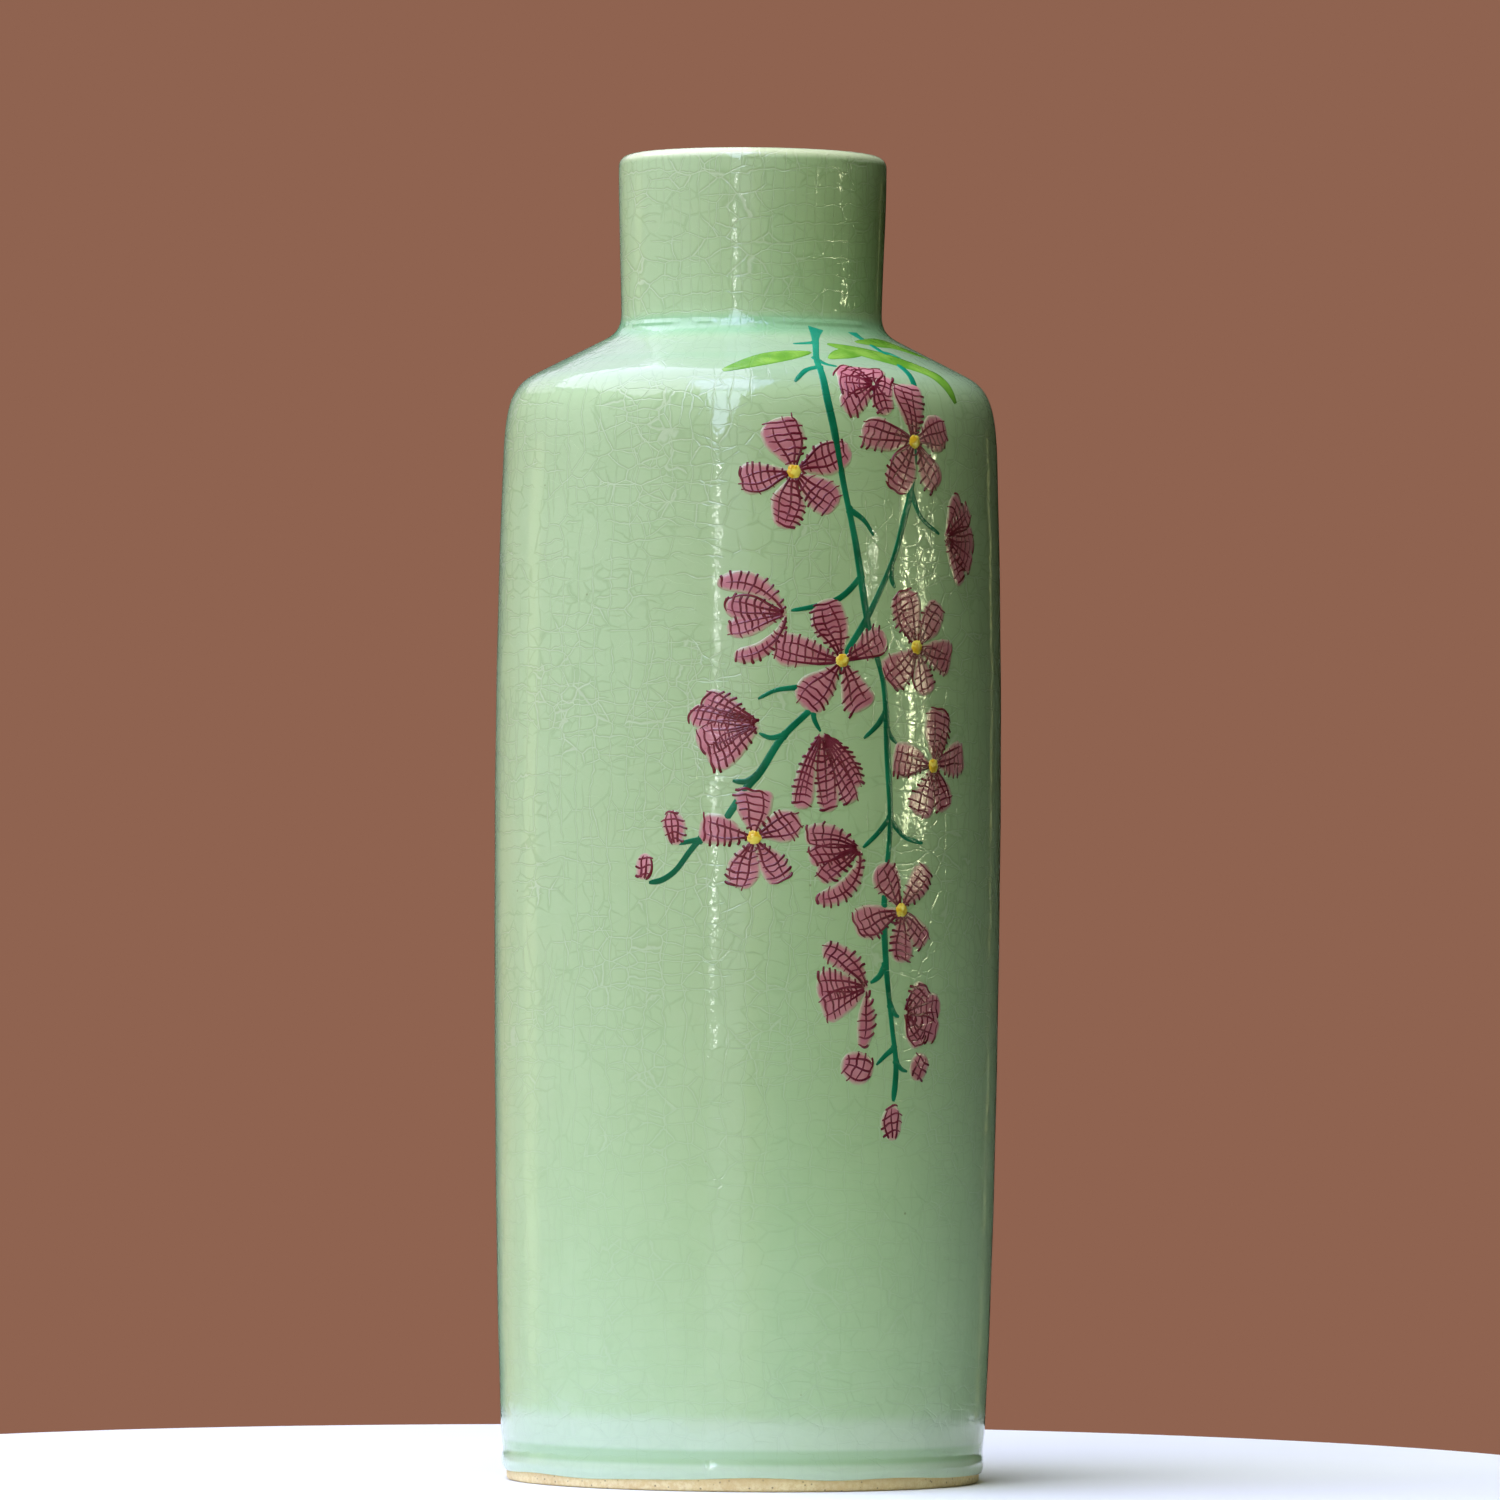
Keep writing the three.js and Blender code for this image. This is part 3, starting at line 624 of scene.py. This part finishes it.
def foot_relief(height):
    """The glaze gathers in a low roll at its lower edge, with a shallow groove above it."""
    return 0.14 * np.exp(-(((height - 3) / 0.8) ** 2)) - 0.10 * np.exp(-(((height - 4.9) / 0.7) ** 2))


def outer_glaze_outline():
    front = SKIN.points[1:].copy()
    back = SKIN.moved_in(OUTER_GLAZE)
    back[-1] = (LIP_CREST_RADIUS, HEIGHT - OUTER_GLAZE)
    front[:, 0] += foot_relief(front[:, 1])
    edge_radius = OUTER_GLAZE / 2
    turns = np.radians(np.linspace(-180, 0, 7))
    edge = np.stack([GLAZE_LINE_RADIUS - edge_radius + edge_radius * np.cos(turns),
                     GLAZE_LINE_HEIGHT + edge_radius * np.sin(turns)], axis=1)
    heights = (2.3, 2.7, 3.1, 3.6, 4.1, 4.6, 5.1, 5.6, 6.2)
    lower_wall = [(GLAZE_LINE_RADIUS + 0.06 + 0.02 * (h - 2.3) + foot_relief(h), h) for h in heights]
    wall = [tuple(p) for p in front if p[1] > 6.6]
    return [tuple(p) for p in edge] + lower_wall + wall + [tuple(p) for p in back[::-3]]


def clay_outline():
    outside = SKIN.moved_in(OUTER_GLAZE + CLAY_GAP)[::2]
    inside = CAVITY.moved_in(INNER_GLAZE + CLAY_GAP)[1::2]
    crest = (LIP_CREST_RADIUS, HEIGHT - OUTER_GLAZE - CLAY_GAP)
    foot = [(0, RECESS_HEIGHT), (20, RECESS_HEIGHT), (30.4, RECESS_HEIGHT), (31.05, 2.42), (31.4, 1.8),
            (31.5, 0.7), (31.62, 0.2), (31.95, 0), (33.8, 0), (35.6, 0), (35.95, 0.08), (36.14, 0.28),
            (FOOT_RADIUS, 0.6), (36.22, 1.2)]
    floor_height = FLOOR_HEIGHT - INNER_GLAZE - CLAY_GAP
    floor = [(14, floor_height), (0, floor_height)]
    wall = [tuple(p) for p in outside if p[0] > LIP_CREST_RADIUS + 0.1]
    return foot + wall + [crest] + [tuple(p) for p in inside] + floor


def inner_glaze_outline():
    back = CAVITY.moved_in(INNER_GLAZE)
    back[0] = (LIP_CREST_RADIUS, HEIGHT - OUTER_GLAZE)
    floor = [(18, FLOOR_HEIGHT - 0.05), (9, FLOOR_HEIGHT - 0.1), (0, FLOOR_HEIGHT - 0.12)]
    underside = [(0, FLOOR_HEIGHT - INNER_GLAZE), (14, FLOOR_HEIGHT - INNER_GLAZE)]
    return underside + [tuple(p) for p in back[::-1]] + [tuple(p) for p in CAVITY.points] + floor


def base_glaze_outline():
    edge = FOOT_RING_INNER_RADIUS - 1.5
    low = RECESS_HEIGHT - INNER_GLAZE
    rounded = [(edge - 0.35, low), (edge - 0.12, low + 0.08), (edge, low + 0.25), (edge, RECESS_HEIGHT)]
    return [(0, low), (10, low), (20, low)] + rounded + [(15, RECESS_HEIGHT), (0, RECESS_HEIGHT)]


def make_pot():
    glaze = celadon()
    points, faces = turned(clay_outline(), CLAY_SEGMENTS)
    add_piece("clay_body", points, faces, bare_clay(), ["stoneware_body"])
    coats = [
        ("outer_glaze", outer_glaze_outline(), GLAZE_SEGMENTS, glaze_line_wave),
        ("inner_glaze", inner_glaze_outline(), CLAY_SEGMENTS, None),
        ("base_glaze", base_glaze_outline(), CLAY_SEGMENTS, None),
    ]
    for node, outline, segments, waver in coats:
        points, faces = turned(outline, segments, waver)
        add_piece(f"{node}_coat", points, faces, glaze, [node])


make_pot()


# ---- brush strokes ----
class Paint:
    """Closed sheets of enamel gathered into one mesh. Each point carries two numbers for its material:
    edge, from 0 at the rim of a stroke to 1 inside it, and tone, which the material reads as a shade."""

    def __init__(self):
        self.points, self.faces = [], []
        self.edge, self.tone = [], []
        self.count = 0

    def sheet(self, across, up, lift, edge, tone):
        """One stroke from grids of rows along it and columns from its right side to its left."""
        rows, columns = across.shape
        top = np.arange(rows * columns).reshape(rows, columns) + self.count
        low = top + rows * columns
        sunk = np.minimum(lift, 0) + SUNK
        self.points += [on_vase(across, up, lift).reshape(-1, 3), on_vase(across, up, sunk).reshape(-1, 3)]
        self.edge += [edge.ravel(), edge.ravel()]
        self.tone += [tone.ravel(), tone.ravel()]
        self.count += 2 * rows * columns
        a, b, c, d = top[:-1, :-1], top[1:, :-1], top[1:, 1:], top[:-1, 1:]
        self.faces += np.stack([a, b, c, d], axis=-1).reshape(-1, 4).tolist()
        a, b, c, d = low[:-1, :-1], low[:-1, 1:], low[1:, 1:], low[1:, :-1]
        self.faces += np.stack([a, b, c, d], axis=-1).reshape(-1, 4).tolist()
        border = [(i, 0) for i in range(rows)] + [(rows - 1, j) for j in range(1, columns)]
        border += [(i, columns - 1) for i in range(rows - 2, -1, -1)]
        border += [(0, j) for j in range(columns - 2, 0, -1)]
        for here, there in zip(border, border[1:] + border[:1]):
            self.faces.append([int(low[here]), int(low[there]), int(top[there]), int(top[here])])

    def dry(self, name, material, slot, replaced=()):
        attributes = {"edge": np.concatenate(self.edge), "tone": np.concatenate(self.tone)}
        add_piece(name, np.concatenate(self.points), self.faces, material, replaced, attributes)


def rounded(w, sharpness):
    """The section of a coat of enamel: flat in the middle, falling away at both sides."""
    return np.sqrt(np.maximum(1 - np.abs(w) ** sharpness, 0))


def places_across(columns):
    """Places from -1 to 1 across a stroke, closer together at its sides."""
    return np.sin(np.linspace(-math.pi / 2, math.pi / 2, columns))[None, :]


def brush(paint, route, half_width, height, tone, columns=5):
    """A stroke along a route of (across, up) points, with a half width, height and tone at each."""
    across, up = route[:, 0], route[:, 1]
    wide = spread(up)
    run_across = np.gradient(across) / wide
    run_up = np.gradient(up)
    size = np.hypot(run_across, run_up)
    side_across, side_up = -run_up / size * wide, run_across / size
    w = places_across(columns)
    aside = w * half_width[:, None]
    grid_across = across[:, None] + side_across[:, None] * aside
    grid_up = up[:, None] + side_up[:, None] * aside
    section = rounded(w, 2.5)
    ends = np.linspace(-1, 1, len(route))[:, None]
    lift = height[:, None] * section * rounded(ends, 16)
    edge = np.broadcast_to(1 - np.abs(w) ** 2, lift.shape)
    paint.sheet(grid_across, grid_up, lift, edge, np.broadcast_to(tone[:, None], lift.shape))


def through(points, spacing=ROUTE_SPACING):
    """A smooth route through the listed points, with a point about every spacing."""
    p = np.array(points, float)
    p = np.concatenate([p[:1], p, p[-1:]])
    parts = []
    for p0, p1, p2, p3 in zip(p, p[1:], p[2:], p[3:]):
        t = np.linspace(0, 1, 30, endpoint=False)[:, None]
        v0, v1 = (p2 - p0) / 2, (p3 - p1) / 2
        bend = (2 * p1 - 2 * p2 + v0 + v1) * t**3 + (3 * p2 - 3 * p1 - 2 * v0 - v1) * t**2
        parts.append(bend + v0 * t + p1)
    dense = np.concatenate([*parts, p[-1:]])
    lengths = np.concatenate([[0], np.cumsum(np.linalg.norm(np.diff(dense, axis=0), axis=1))])
    wanted = np.linspace(0, lengths[-1], max(6, round(lengths[-1] / spacing)))
    return np.stack([np.interp(wanted, lengths, dense[:, i]) for i in (0, 1)], axis=1)


class Petal:
    """A petal's spine, which leaves a point at an angle and turns by bend degrees, and its outline."""

    STEPS = 24
    FILL_ROWS = 30
    FILL_COLUMNS = 15
    CROSS_POINTS = 13
    LONG_POINTS = 22

    def __init__(self, rng, across, up, angle, length, half_width, bend=0, inset=HUB_INSET, bud=False):
        self.rng = rng
        self.length = length - inset
        self.half_width = half_width
        self.bud = bud
        self.widest = rng.uniform(0.58, 0.76)
        self.blunt = rng.uniform(2.1, 4.2)
        self.hairy = rng.choice((-1, 1)) if not bend else -int(math.copysign(1, bend))
        self.ripple = [(rng.uniform(5, 9), rng.uniform(0, 6.3), rng.uniform(0.03, 0.08)) for _ in range(2)]
        self.steps = np.linspace(0, 1, self.STEPS + 1)
        heading = np.radians(angle + bend * self.steps)
        middle = (heading[1:] + heading[:-1]) / 2
        run = self.length / self.STEPS
        first = math.radians(angle)
        run_across = run * np.concatenate([[0], np.cumsum(np.cos(middle))])
        run_up = run * np.concatenate([[0], np.cumsum(np.sin(middle))])
        self.across = across + inset * math.cos(first) + run_across
        self.up = up + inset * math.sin(first) + run_up
        self.heading = heading

    def outline(self, t, left):
        """How wide the petal is on one side of its spine."""
        if self.bud:
            shape = np.sqrt(np.maximum(1 - (2 * t - 1) ** 2, 0.01))
        else:
            rise = 0.2 + 0.8 * np.sin(np.minimum(t / self.widest, 1) * math.pi / 2) ** 1.3
            past = np.clip((t - self.widest) / (1 - self.widest), 0, 1)
            shape = rise * np.sqrt(np.maximum(1 - past**self.blunt, 0.004))
        pace, phase, depth = self.ripple[0 if left else 1]
        return self.half_width * shape * (1 + depth * np.sin(pace * t + phase))

    def point(self, t, aside):
        """(across, up) at t along the spine and aside of it, in millimetres, left positive."""
        inside = np.clip(t, 0, 1)
        heading = np.interp(inside, self.steps, self.heading)
        beyond = (t - inside) * self.length
        across = np.interp(inside, self.steps, self.across) + beyond * np.cos(heading)
        up = np.interp(inside, self.steps, self.up) + beyond * np.sin(heading)
        stretch = spread(up)
        return across - np.sin(heading) * aside * stretch, up + np.cos(heading) * aside

    def half(self, t, w):
        """How wide the petal is on the side that the sign of w says."""
        return np.where(w > 0, self.outline(t, True), self.outline(t, False))

    def fill(self, paint):
        s = np.linspace(0, 1, self.FILL_ROWS)
        t = ((1 - np.cos(math.pi * s)) / 2 * 0.5 + 0.5 * (1 - (1 - s) ** 1.6))[:, None]
        w = places_across(self.FILL_COLUMNS)
        aside = w * self.half(t, w)
        across, up = self.point(t, aside)
        from_tip = (1 - t) * self.length
        from_base = t * self.length + 0.1
        inwards = np.minimum((1 - np.abs(w)) * self.half(t, w), np.minimum(from_tip, from_base))
        edge = np.clip(inwards / RIM_WIDTH, 0, 1)
        lift = PETAL_HEIGHT * np.sqrt(1 - (1 - edge) ** 2)
        paint.sheet(across, up, lift, edge, np.broadcast_to(t, lift.shape))

    def vein(self, paint, t, aside, thick, tone):
        """A vein through (t, aside) places, tapering and paling from the first to the last of thick, tone."""
        across, up = self.point(t, aside)
        run = np.linspace(0, 1, len(t))
        half_width = np.interp(run, [0, 0.12, 0.8, 1], [thick[0] * 0.7, thick[0], thick[1], thick[1] * 0.5])
        height = VEIN_HEIGHT * np.interp(run, [0, 1], [1, 0.92])
        shade = np.interp(run, [0, 1], tone)
        brush(paint, np.stack([across, up], axis=1), half_width, height, shade)

    def cross_veins(self, paint):
        """Bowed veins across the petal, running out past one edge as short hairs."""
        rng = self.rng
        tilt = rng.uniform(-0.32, 0.32)
        bow = rng.uniform(-0.45, 0.55)
        hook = rng.uniform(-0.25, 0.25)
        hairy = self.hairy
        count = max(2, round((self.length - 0.5) / rng.uniform(0.95, 1.2)))
        for k in range(count):
            middle = (k + 0.75 + rng.uniform(-0.14, 0.14)) / (count + 0.35)
            reach = float(self.half(np.array(middle), np.array(hairy)))
            far_reach = float(self.half(np.array(middle), np.array(-hairy)))
            hair = rng.uniform(0.0, 0.2 if self.bud else 0.36)
            start = hairy * (reach + hair)
            end = -hairy * (far_reach + rng.uniform(-0.35, 0.2))
            aside = np.linspace(start, end, self.CROSS_POINTS)
            w = aside / max(reach, 0.5)
            shift = bow * (1 - w**2) + tilt * aside + hook * w * (1 - w**2)
            shift += rng.uniform(0.05, 0.14) * np.sin(aside * rng.uniform(1.6, 3.4) + rng.uniform(0, 6))
            t = middle + shift / self.length
            dark = rng.uniform(0.55, 1.0)
            self.vein(paint, t, aside, (rng.uniform(0.21, 0.29), rng.uniform(0.15, 0.21)),
                      (dark, dark * rng.uniform(0.2, 0.6)))

    def long_veins(self, paint):
        """A few veins from the base to the tip."""
        rng = self.rng
        choices = ([-0.4, 0.42], [-0.62, 0.02, 0.6], [-0.68, -0.2, 0.3], [-0.3, 0.24, 0.74],
                   [-0.9, -0.35, 0.3])
        fractions = rng.choice(choices) if self.half_width > 1.6 or self.bud else [rng.uniform(-0.2, 0.2)]
        for fraction in fractions:
            end = rng.uniform(0.86, 1.04)
            t = np.linspace(0.04 if self.bud else 0.0, end, self.LONG_POINTS)
            side = 1 if fraction > 0 else -1
            lean = fraction + 0.11 * np.sin(t * rng.uniform(3, 7) + rng.uniform(0, 6))
            aside = lean * self.half(np.minimum(t, 0.93), np.array(side))
            dark = rng.uniform(0.6, 1.0)
            self.vein(paint, t, aside, (rng.uniform(0.24, 0.31), rng.uniform(0.16, 0.22)),
                      (dark, dark * rng.uniform(0.4, 0.8)))


def paint_petals(name, petals, fill_material, line_material):
    fills, lines = Paint(), Paint()
    for petal in petals:
        petal.fill(fills)
        petal.long_veins(lines)
        petal.cross_veins(lines)
    fills.dry(f"{name}_petals", fill_material, "petal_enamel", [name])
    lines.dry(f"{name}_veins", line_material, "petal_enamel")


def dab(paint, rng, across, up, half_length, half_width, height, tilt):
    """A rounded drop of enamel, tilted in degrees."""
    s = -np.cos(np.linspace(0.04, math.pi - 0.04, 15))[:, None]
    w = places_across(11)
    round_here = np.sqrt(1 - s**2)
    lumps = 1 + 0.12 * np.sin(5 * s + rng.uniform(0, 6)) * np.sin(4 * w + rng.uniform(0, 6))
    along, aside = s * half_length * lumps, w * half_width * round_here * lumps
    turn = math.radians(tilt)
    here_across = across + (along * math.cos(turn) - aside * math.sin(turn)) * spread(up)
    here_up = up + along * math.sin(turn) + aside * math.cos(turn)
    inside = np.sqrt(np.maximum((1 - s**2) * (1 - w**2), 0))
    paint.sheet(here_across, here_up, height * inside, inside, np.full(inside.shape, 0.5))


def paint_eye(name, rng, across, up, material, node):
    """The yellow middle of a flower: one dab over a few that spread a little further."""
    paint = Paint()
    dab(paint, rng, across, up, 1.05, 0.95, EYE_HEIGHT, rng.uniform(0, 90))
    count = 6
    for k in range(count):
        turn = math.tau * (k + rng.uniform(-0.25, 0.25)) / count
        out = rng.uniform(0.42, 0.58)
        dab(paint, rng, across + out * math.cos(turn), up + out * math.sin(turn), 0.62, 0.58,
            EYE_HEIGHT * rng.uniform(0.7, 0.85), math.degrees(turn))
    paint.dry(name, material, "centre_enamel", [node])


def paint_flowers(mauve, maroon, yellow):
    for number, (across, up, petals) in enumerate(FLOWERS, 1):
        rng = random.Random(number)
        drawn = [Petal(rng, across, up, angle, length, half) for angle, length, half in petals]
        paint_petals(f"flower_{number}", drawn, mauve, maroon)
        paint_eye(f"flower_{number}_eye", rng, across, up, yellow, f"flower_{number}_centre")
    for number, (across, up, petals) in enumerate(SIDE_FLOWERS, 1):
        rng = random.Random(100 + number)
        drawn = [Petal(rng, across, up, angle, length, half, bend, inset=SIDE_INSET)
                 for angle, length, half, bend in petals]
        paint_petals(f"side_flower_{number}", drawn, mauve, maroon)
    for number, (across, up, half_length, half_width, tilt) in enumerate(BUDS, 1):
        rng = random.Random(200 + number)
        start = (across - half_length * math.cos(math.radians(tilt)),
                 up - half_length * math.sin(math.radians(tilt)))
        drawn = [Petal(rng, *start, tilt, 2 * half_length, half_width, inset=0, bud=True)]
        paint_petals(f"bud_{number}", drawn, mauve, maroon)


STEM_HALF_WIDTH = 0.58
TWIG_HALF_WIDTH = 0.42
OVER_PETAL = 0.09  # extra height where the main stem is painted over a petal of the first flower
OVER_PETAL_UP = 156.5


def stem_widths(rng, route, start, end):
    """Brush pressure comes and goes along a stem, from one half width to another."""
    run = np.linspace(0, 1, len(route))
    length = len(route) * ROUTE_SPACING
    press = 1 + 0.12 * np.sin(run * length / rng.uniform(3, 5) + rng.uniform(0, 6))
    return (start + (end - start) * run) * press


def paint_stems(material):
    for number, (name, (points, twigs)) in enumerate(STEMS.items()):
        rng = random.Random(300 + number)
        paint = Paint()
        route = through(points)
        flare = np.interp(np.arange(len(route)), [0, 4, 9], [2.0, 1.35, 1.0])
        half_width = stem_widths(rng, route, STEM_HALF_WIDTH, STEM_HALF_WIDTH * 0.85) * flare
        half_width[-3:] *= (0.9, 0.75, 0.45)
        height = np.full(len(route), STEM_HEIGHT)
        if name == "main_stem":
            height += OVER_PETAL * np.exp(-(((route[:, 1] - OVER_PETAL_UP) / 3.5) ** 4))
        brush(paint, route, half_width, height, np.zeros(len(route)), columns=9)
        for twig in twigs:
            twig_route = through(twig, SHORT_SPACING)
            widths = stem_widths(rng, twig_route, TWIG_HALF_WIDTH * 1.25, TWIG_HALF_WIDTH * 0.75)
            widths[-2:] *= (0.85, 0.55)
            brush(paint, twig_route, widths, np.full(len(widths), STEM_HEIGHT * 0.95),
                  np.zeros(len(widths)), columns=7)
            dab(paint, rng, *twig[0], 0.75, STEM_HALF_WIDTH * 1.05, STEM_HEIGHT * 1.05, 90)
        paint.dry(f"{name}_enamel", material, "stem_enamel", [name])


def paint_leaves(material):
    for name, strokes in LEAVES.items():
        paint = Paint()
        for points, half_width in strokes:
            route = through(points, SHORT_SPACING)
            t = np.linspace(0.01, 0.985, len(route))
            widths = half_width * (0.1 + 0.9 * np.sin(math.pi * t) ** 0.8)
            brush(paint, route, widths, np.full(len(route), LEAF_HEIGHT), t, columns=13)
        paint.dry(f"{name}_enamel", material, "leaf_enamel", [name])


paint_stems(stem_enamel())
paint_leaves(leaf_enamel())
paint_flowers(petal_enamel(), vein_enamel(), eye_enamel())


# ---- stage and light ----
TABLE_RADIUS = 0.1525
TABLE_CENTRE = (-0.01, 0.03)
TABLE_THICKNESS = 0.02
TABLE_EDGE = 0.004
TABLE_SEGMENTS = 180
BACKDROP = (0.275, 0.125, 0.08, 1)
ROOM = (0.004, 0.003, 0.001, 1)
WINDOW_LIGHT = (0.25, 0.22, 0.02, 1)
WINDOW_SIDE = (-0.95, -0.30, 0.0)
GROUND_LIGHT = (0.55, 0.32, 0.08, 1)  # outside the window, below the vase's eye level
FILL_DISTANCE = 1.5
FILL_AIM = (0, 0, 0.1)
CEILING = 1.0
STRIP_HEIGHT = 0.98  # just under the ceiling
FAR, STREAK, NEAR = 1.5, 1.45, 0.356  # how far out the lights that show as reflections stand


def table_top():
    """A round pale table top under the vase, with a rounded edge."""
    finish = Finish("pale_table", roughness=0.5)
    finish.colour = finish.mix(finish.noise(30, 3), (0.79, 0.85, 0.89, 1), (0.83, 0.88, 0.92, 1))
    finish.bump(finish.math("MULTIPLY", finish.noise(2, 3), 0.05 * MM))
    finish.done()
    middle_x, middle_y = TABLE_CENTRE
    inner = TABLE_RADIUS - TABLE_EDGE
    quarter = np.radians(np.linspace(0, 90, 6))
    rim = [(inner + TABLE_EDGE * math.cos(a), -TABLE_EDGE + TABLE_EDGE * math.sin(a)) for a in quarter]
    outline = [(TABLE_RADIUS, -TABLE_THICKNESS), *rim]
    angles = np.linspace(0, math.tau, TABLE_SEGMENTS, endpoint=False)
    mesh = bpy.data.meshes.new("table_top")
    points, faces = [], []
    for radius, height in outline:
        points += [(middle_x + radius * math.sin(a), middle_y - radius * math.cos(a), height) for a in angles]
    for low in range(0, len(points) - TABLE_SEGMENTS, TABLE_SEGMENTS):
        high = low + TABLE_SEGMENTS
        for j in range(TABLE_SEGMENTS):
            k = (j + 1) % TABLE_SEGMENTS
            faces.append((low + j, low + k, high + k, high + j))
    faces.append(tuple(range(high, high + TABLE_SEGMENTS)))
    faces.append(tuple(range(TABLE_SEGMENTS - 1, -1, -1)))
    mesh.from_pydata(points, [], faces)
    mesh.materials.append(finish.material)
    add_object("table_top", mesh)


def make_world():
    """Soft light from a window on the left, a dim room on the right, and a plain backdrop."""
    world = bpy.data.worlds.new("studio")
    bpy.context.scene.world = world
    world.use_nodes = True
    sky = Nodes(world.node_tree)
    direction = sky.node("TexCoord").outputs["Generated"]
    rise = sky.node("SeparateXYZ", Vector=direction).outputs["Z"]
    window = sky.ease(sky.vector("DOT_PRODUCT", direction, WINDOW_SIDE), 0.0, 0.3)
    outside = sky.mix(sky.ease(rise, -0.04, 0.05, 1.0, 0.0), WINDOW_LIGHT, GROUND_LIGHT)
    light = sky.mix(window, ROOM, outside)
    seen = sky.node("LightPath").outputs["Is Camera Ray"]
    sky.feed(world.node_tree.nodes["Background"].inputs["Color"], sky.mix(seen, light, BACKDROP))


def soft_box(name, place, aim, width, height, radiance, reflected=True):
    """A soft light, out of the camera's sight. radiance is how bright its face looks, in red, green and
    blue. It either shows in reflections only, or lights everything but them."""
    data = bpy.data.lights.new(name, "AREA")
    data.shape = "RECTANGLE"
    data.size = width
    data.size_y = height
    strongest = max(radiance)
    data.energy = strongest * math.pi * width * height
    data.color = [part / strongest for part in radiance]
    light = add_object(name, data)
    light.location = place
    light.rotation_euler = (Vector(aim) - Vector(place)).to_track_quat("-Z", "Y").to_euler()
    light.visible_camera = False
    light.visible_diffuse = not reflected
    light.visible_glossy = reflected


def round_vase(azimuth, distance, height):
    """A place azimuth degrees round from the camera's side towards +X."""
    turn = math.radians(azimuth)
    return Vector((distance * math.sin(turn), -distance * math.cos(turn), height))


def fill_light(name, azimuth, elevation, size, radiance):
    """A large soft light."""
    rise = math.radians(elevation)
    height = FILL_AIM[2] + FILL_DISTANCE * math.sin(rise)
    place = round_vase(azimuth, FILL_DISTANCE * math.cos(rise), height)
    soft_box(name, place, FILL_AIM, size, size, radiance, reflected=False)


def reflection(name, azimuth, low, high, width, radiance, distance=FAR):
    """An upright bright strip that is seen in the glaze, between two heights."""
    middle = (low + high) / 2
    soft_box(name, round_vase(azimuth, distance, middle), (0, 0, middle), width, high - low, radiance)


def ceiling_strip(name, azimuth, near, far, width, radiance):
    """A bright strip overhead that runs out from the vase, seen in the glaze of its shoulder."""
    place = round_vase(azimuth, (near + far) / 2, STRIP_HEIGHT)
    soft_box(name, place, place + Vector((0, 0, -1)), width, far - near, radiance)
    bpy.data.objects[name].rotation_euler = (0, 0, math.radians(azimuth))


table_top()
make_world()
fill_light("left_fill", -110, 12, 0.8, (1.6, 1.85, 1.9))
fill_light("left_front_fill", -65, 18, 0.8, (0.2, 0.1, 4.2))
fill_light("front_fill", -25, 25, 0.8, (4.2, 4.0, 4.4))
fill_light("low_fill", -15, -12, 0.8, (0.2, 1.2, 0.1))
fill_light("top_fill", -60, 75, 1.0, (9.0, 9.3, 10.8))
fill_light("right_fill", 110, 70, 0.8, (1.8, 1.7, 1.0))
# The next two face down, with a hair of lean that settles how they are turned.
soft_box("overhead_window", (-0.6, 0, CEILING), (-0.6, 0.001, 0), 1.2, 1.6, (3.0, 2.7, 3.8))
soft_box("far_ceiling", (-0.8, 1.6, CEILING), (-0.8, 1.601, 0), 1.6, 1.6, (0.9, 0.8, 1.0))
ceiling_strip("near_shoulder_light", -12.5, 0.3, 0.92, 0.44, (2.2, 2.4, 5.0))
ceiling_strip("shoulder_light", -14, 0.95, 5.6, 0.4, (4.2, 4.8, 7.0))
reflection("front_window", -8, -0.15, 0.5, 0.42, (0.5, 0.5, 0.7))
for step in range(5):
    low = 0.055 + 0.055 * step
    reflection(f"front_spark_{step}", -14.6, low, low + 0.016, 0.045, (22.0, 22.0, 22.0), STREAK)
sparks = random.Random(12)
for number in range(36):
    low = sparks.uniform(0.098, 0.186)
    azimuth = sparks.uniform(66, 85) + 70 * (low - 0.098)
    reflection(f"right_spark_{number}", azimuth, low, low + 0.006, 0.008, (27.0, 28.0, 17.0), NEAR)
for number in range(7):
    low = sparks.uniform(0.148, 0.178)
    azimuth = sparks.uniform(50, 57)
    reflection(f"middle_spark_{number}", azimuth, low, low + 0.005, 0.005, (20.0, 20.0, 16.0), NEAR)
reflection("neck_glow", 79, 0.213, 0.226, 0.016, (9.0, 9.2, 5.6), NEAR)
reflection("neck_glow_beside", 55, 0.208, 0.222, 0.006, (9.0, 9.2, 5.6), NEAR)
reflection("left_glow", -116, -0.1, 0.30, 0.3, (0.6, 0.6, 0.3))
reflection("edge_streak", 146, -0.1, 0.3, 0.05, (0.5, 0.5, 0.2))
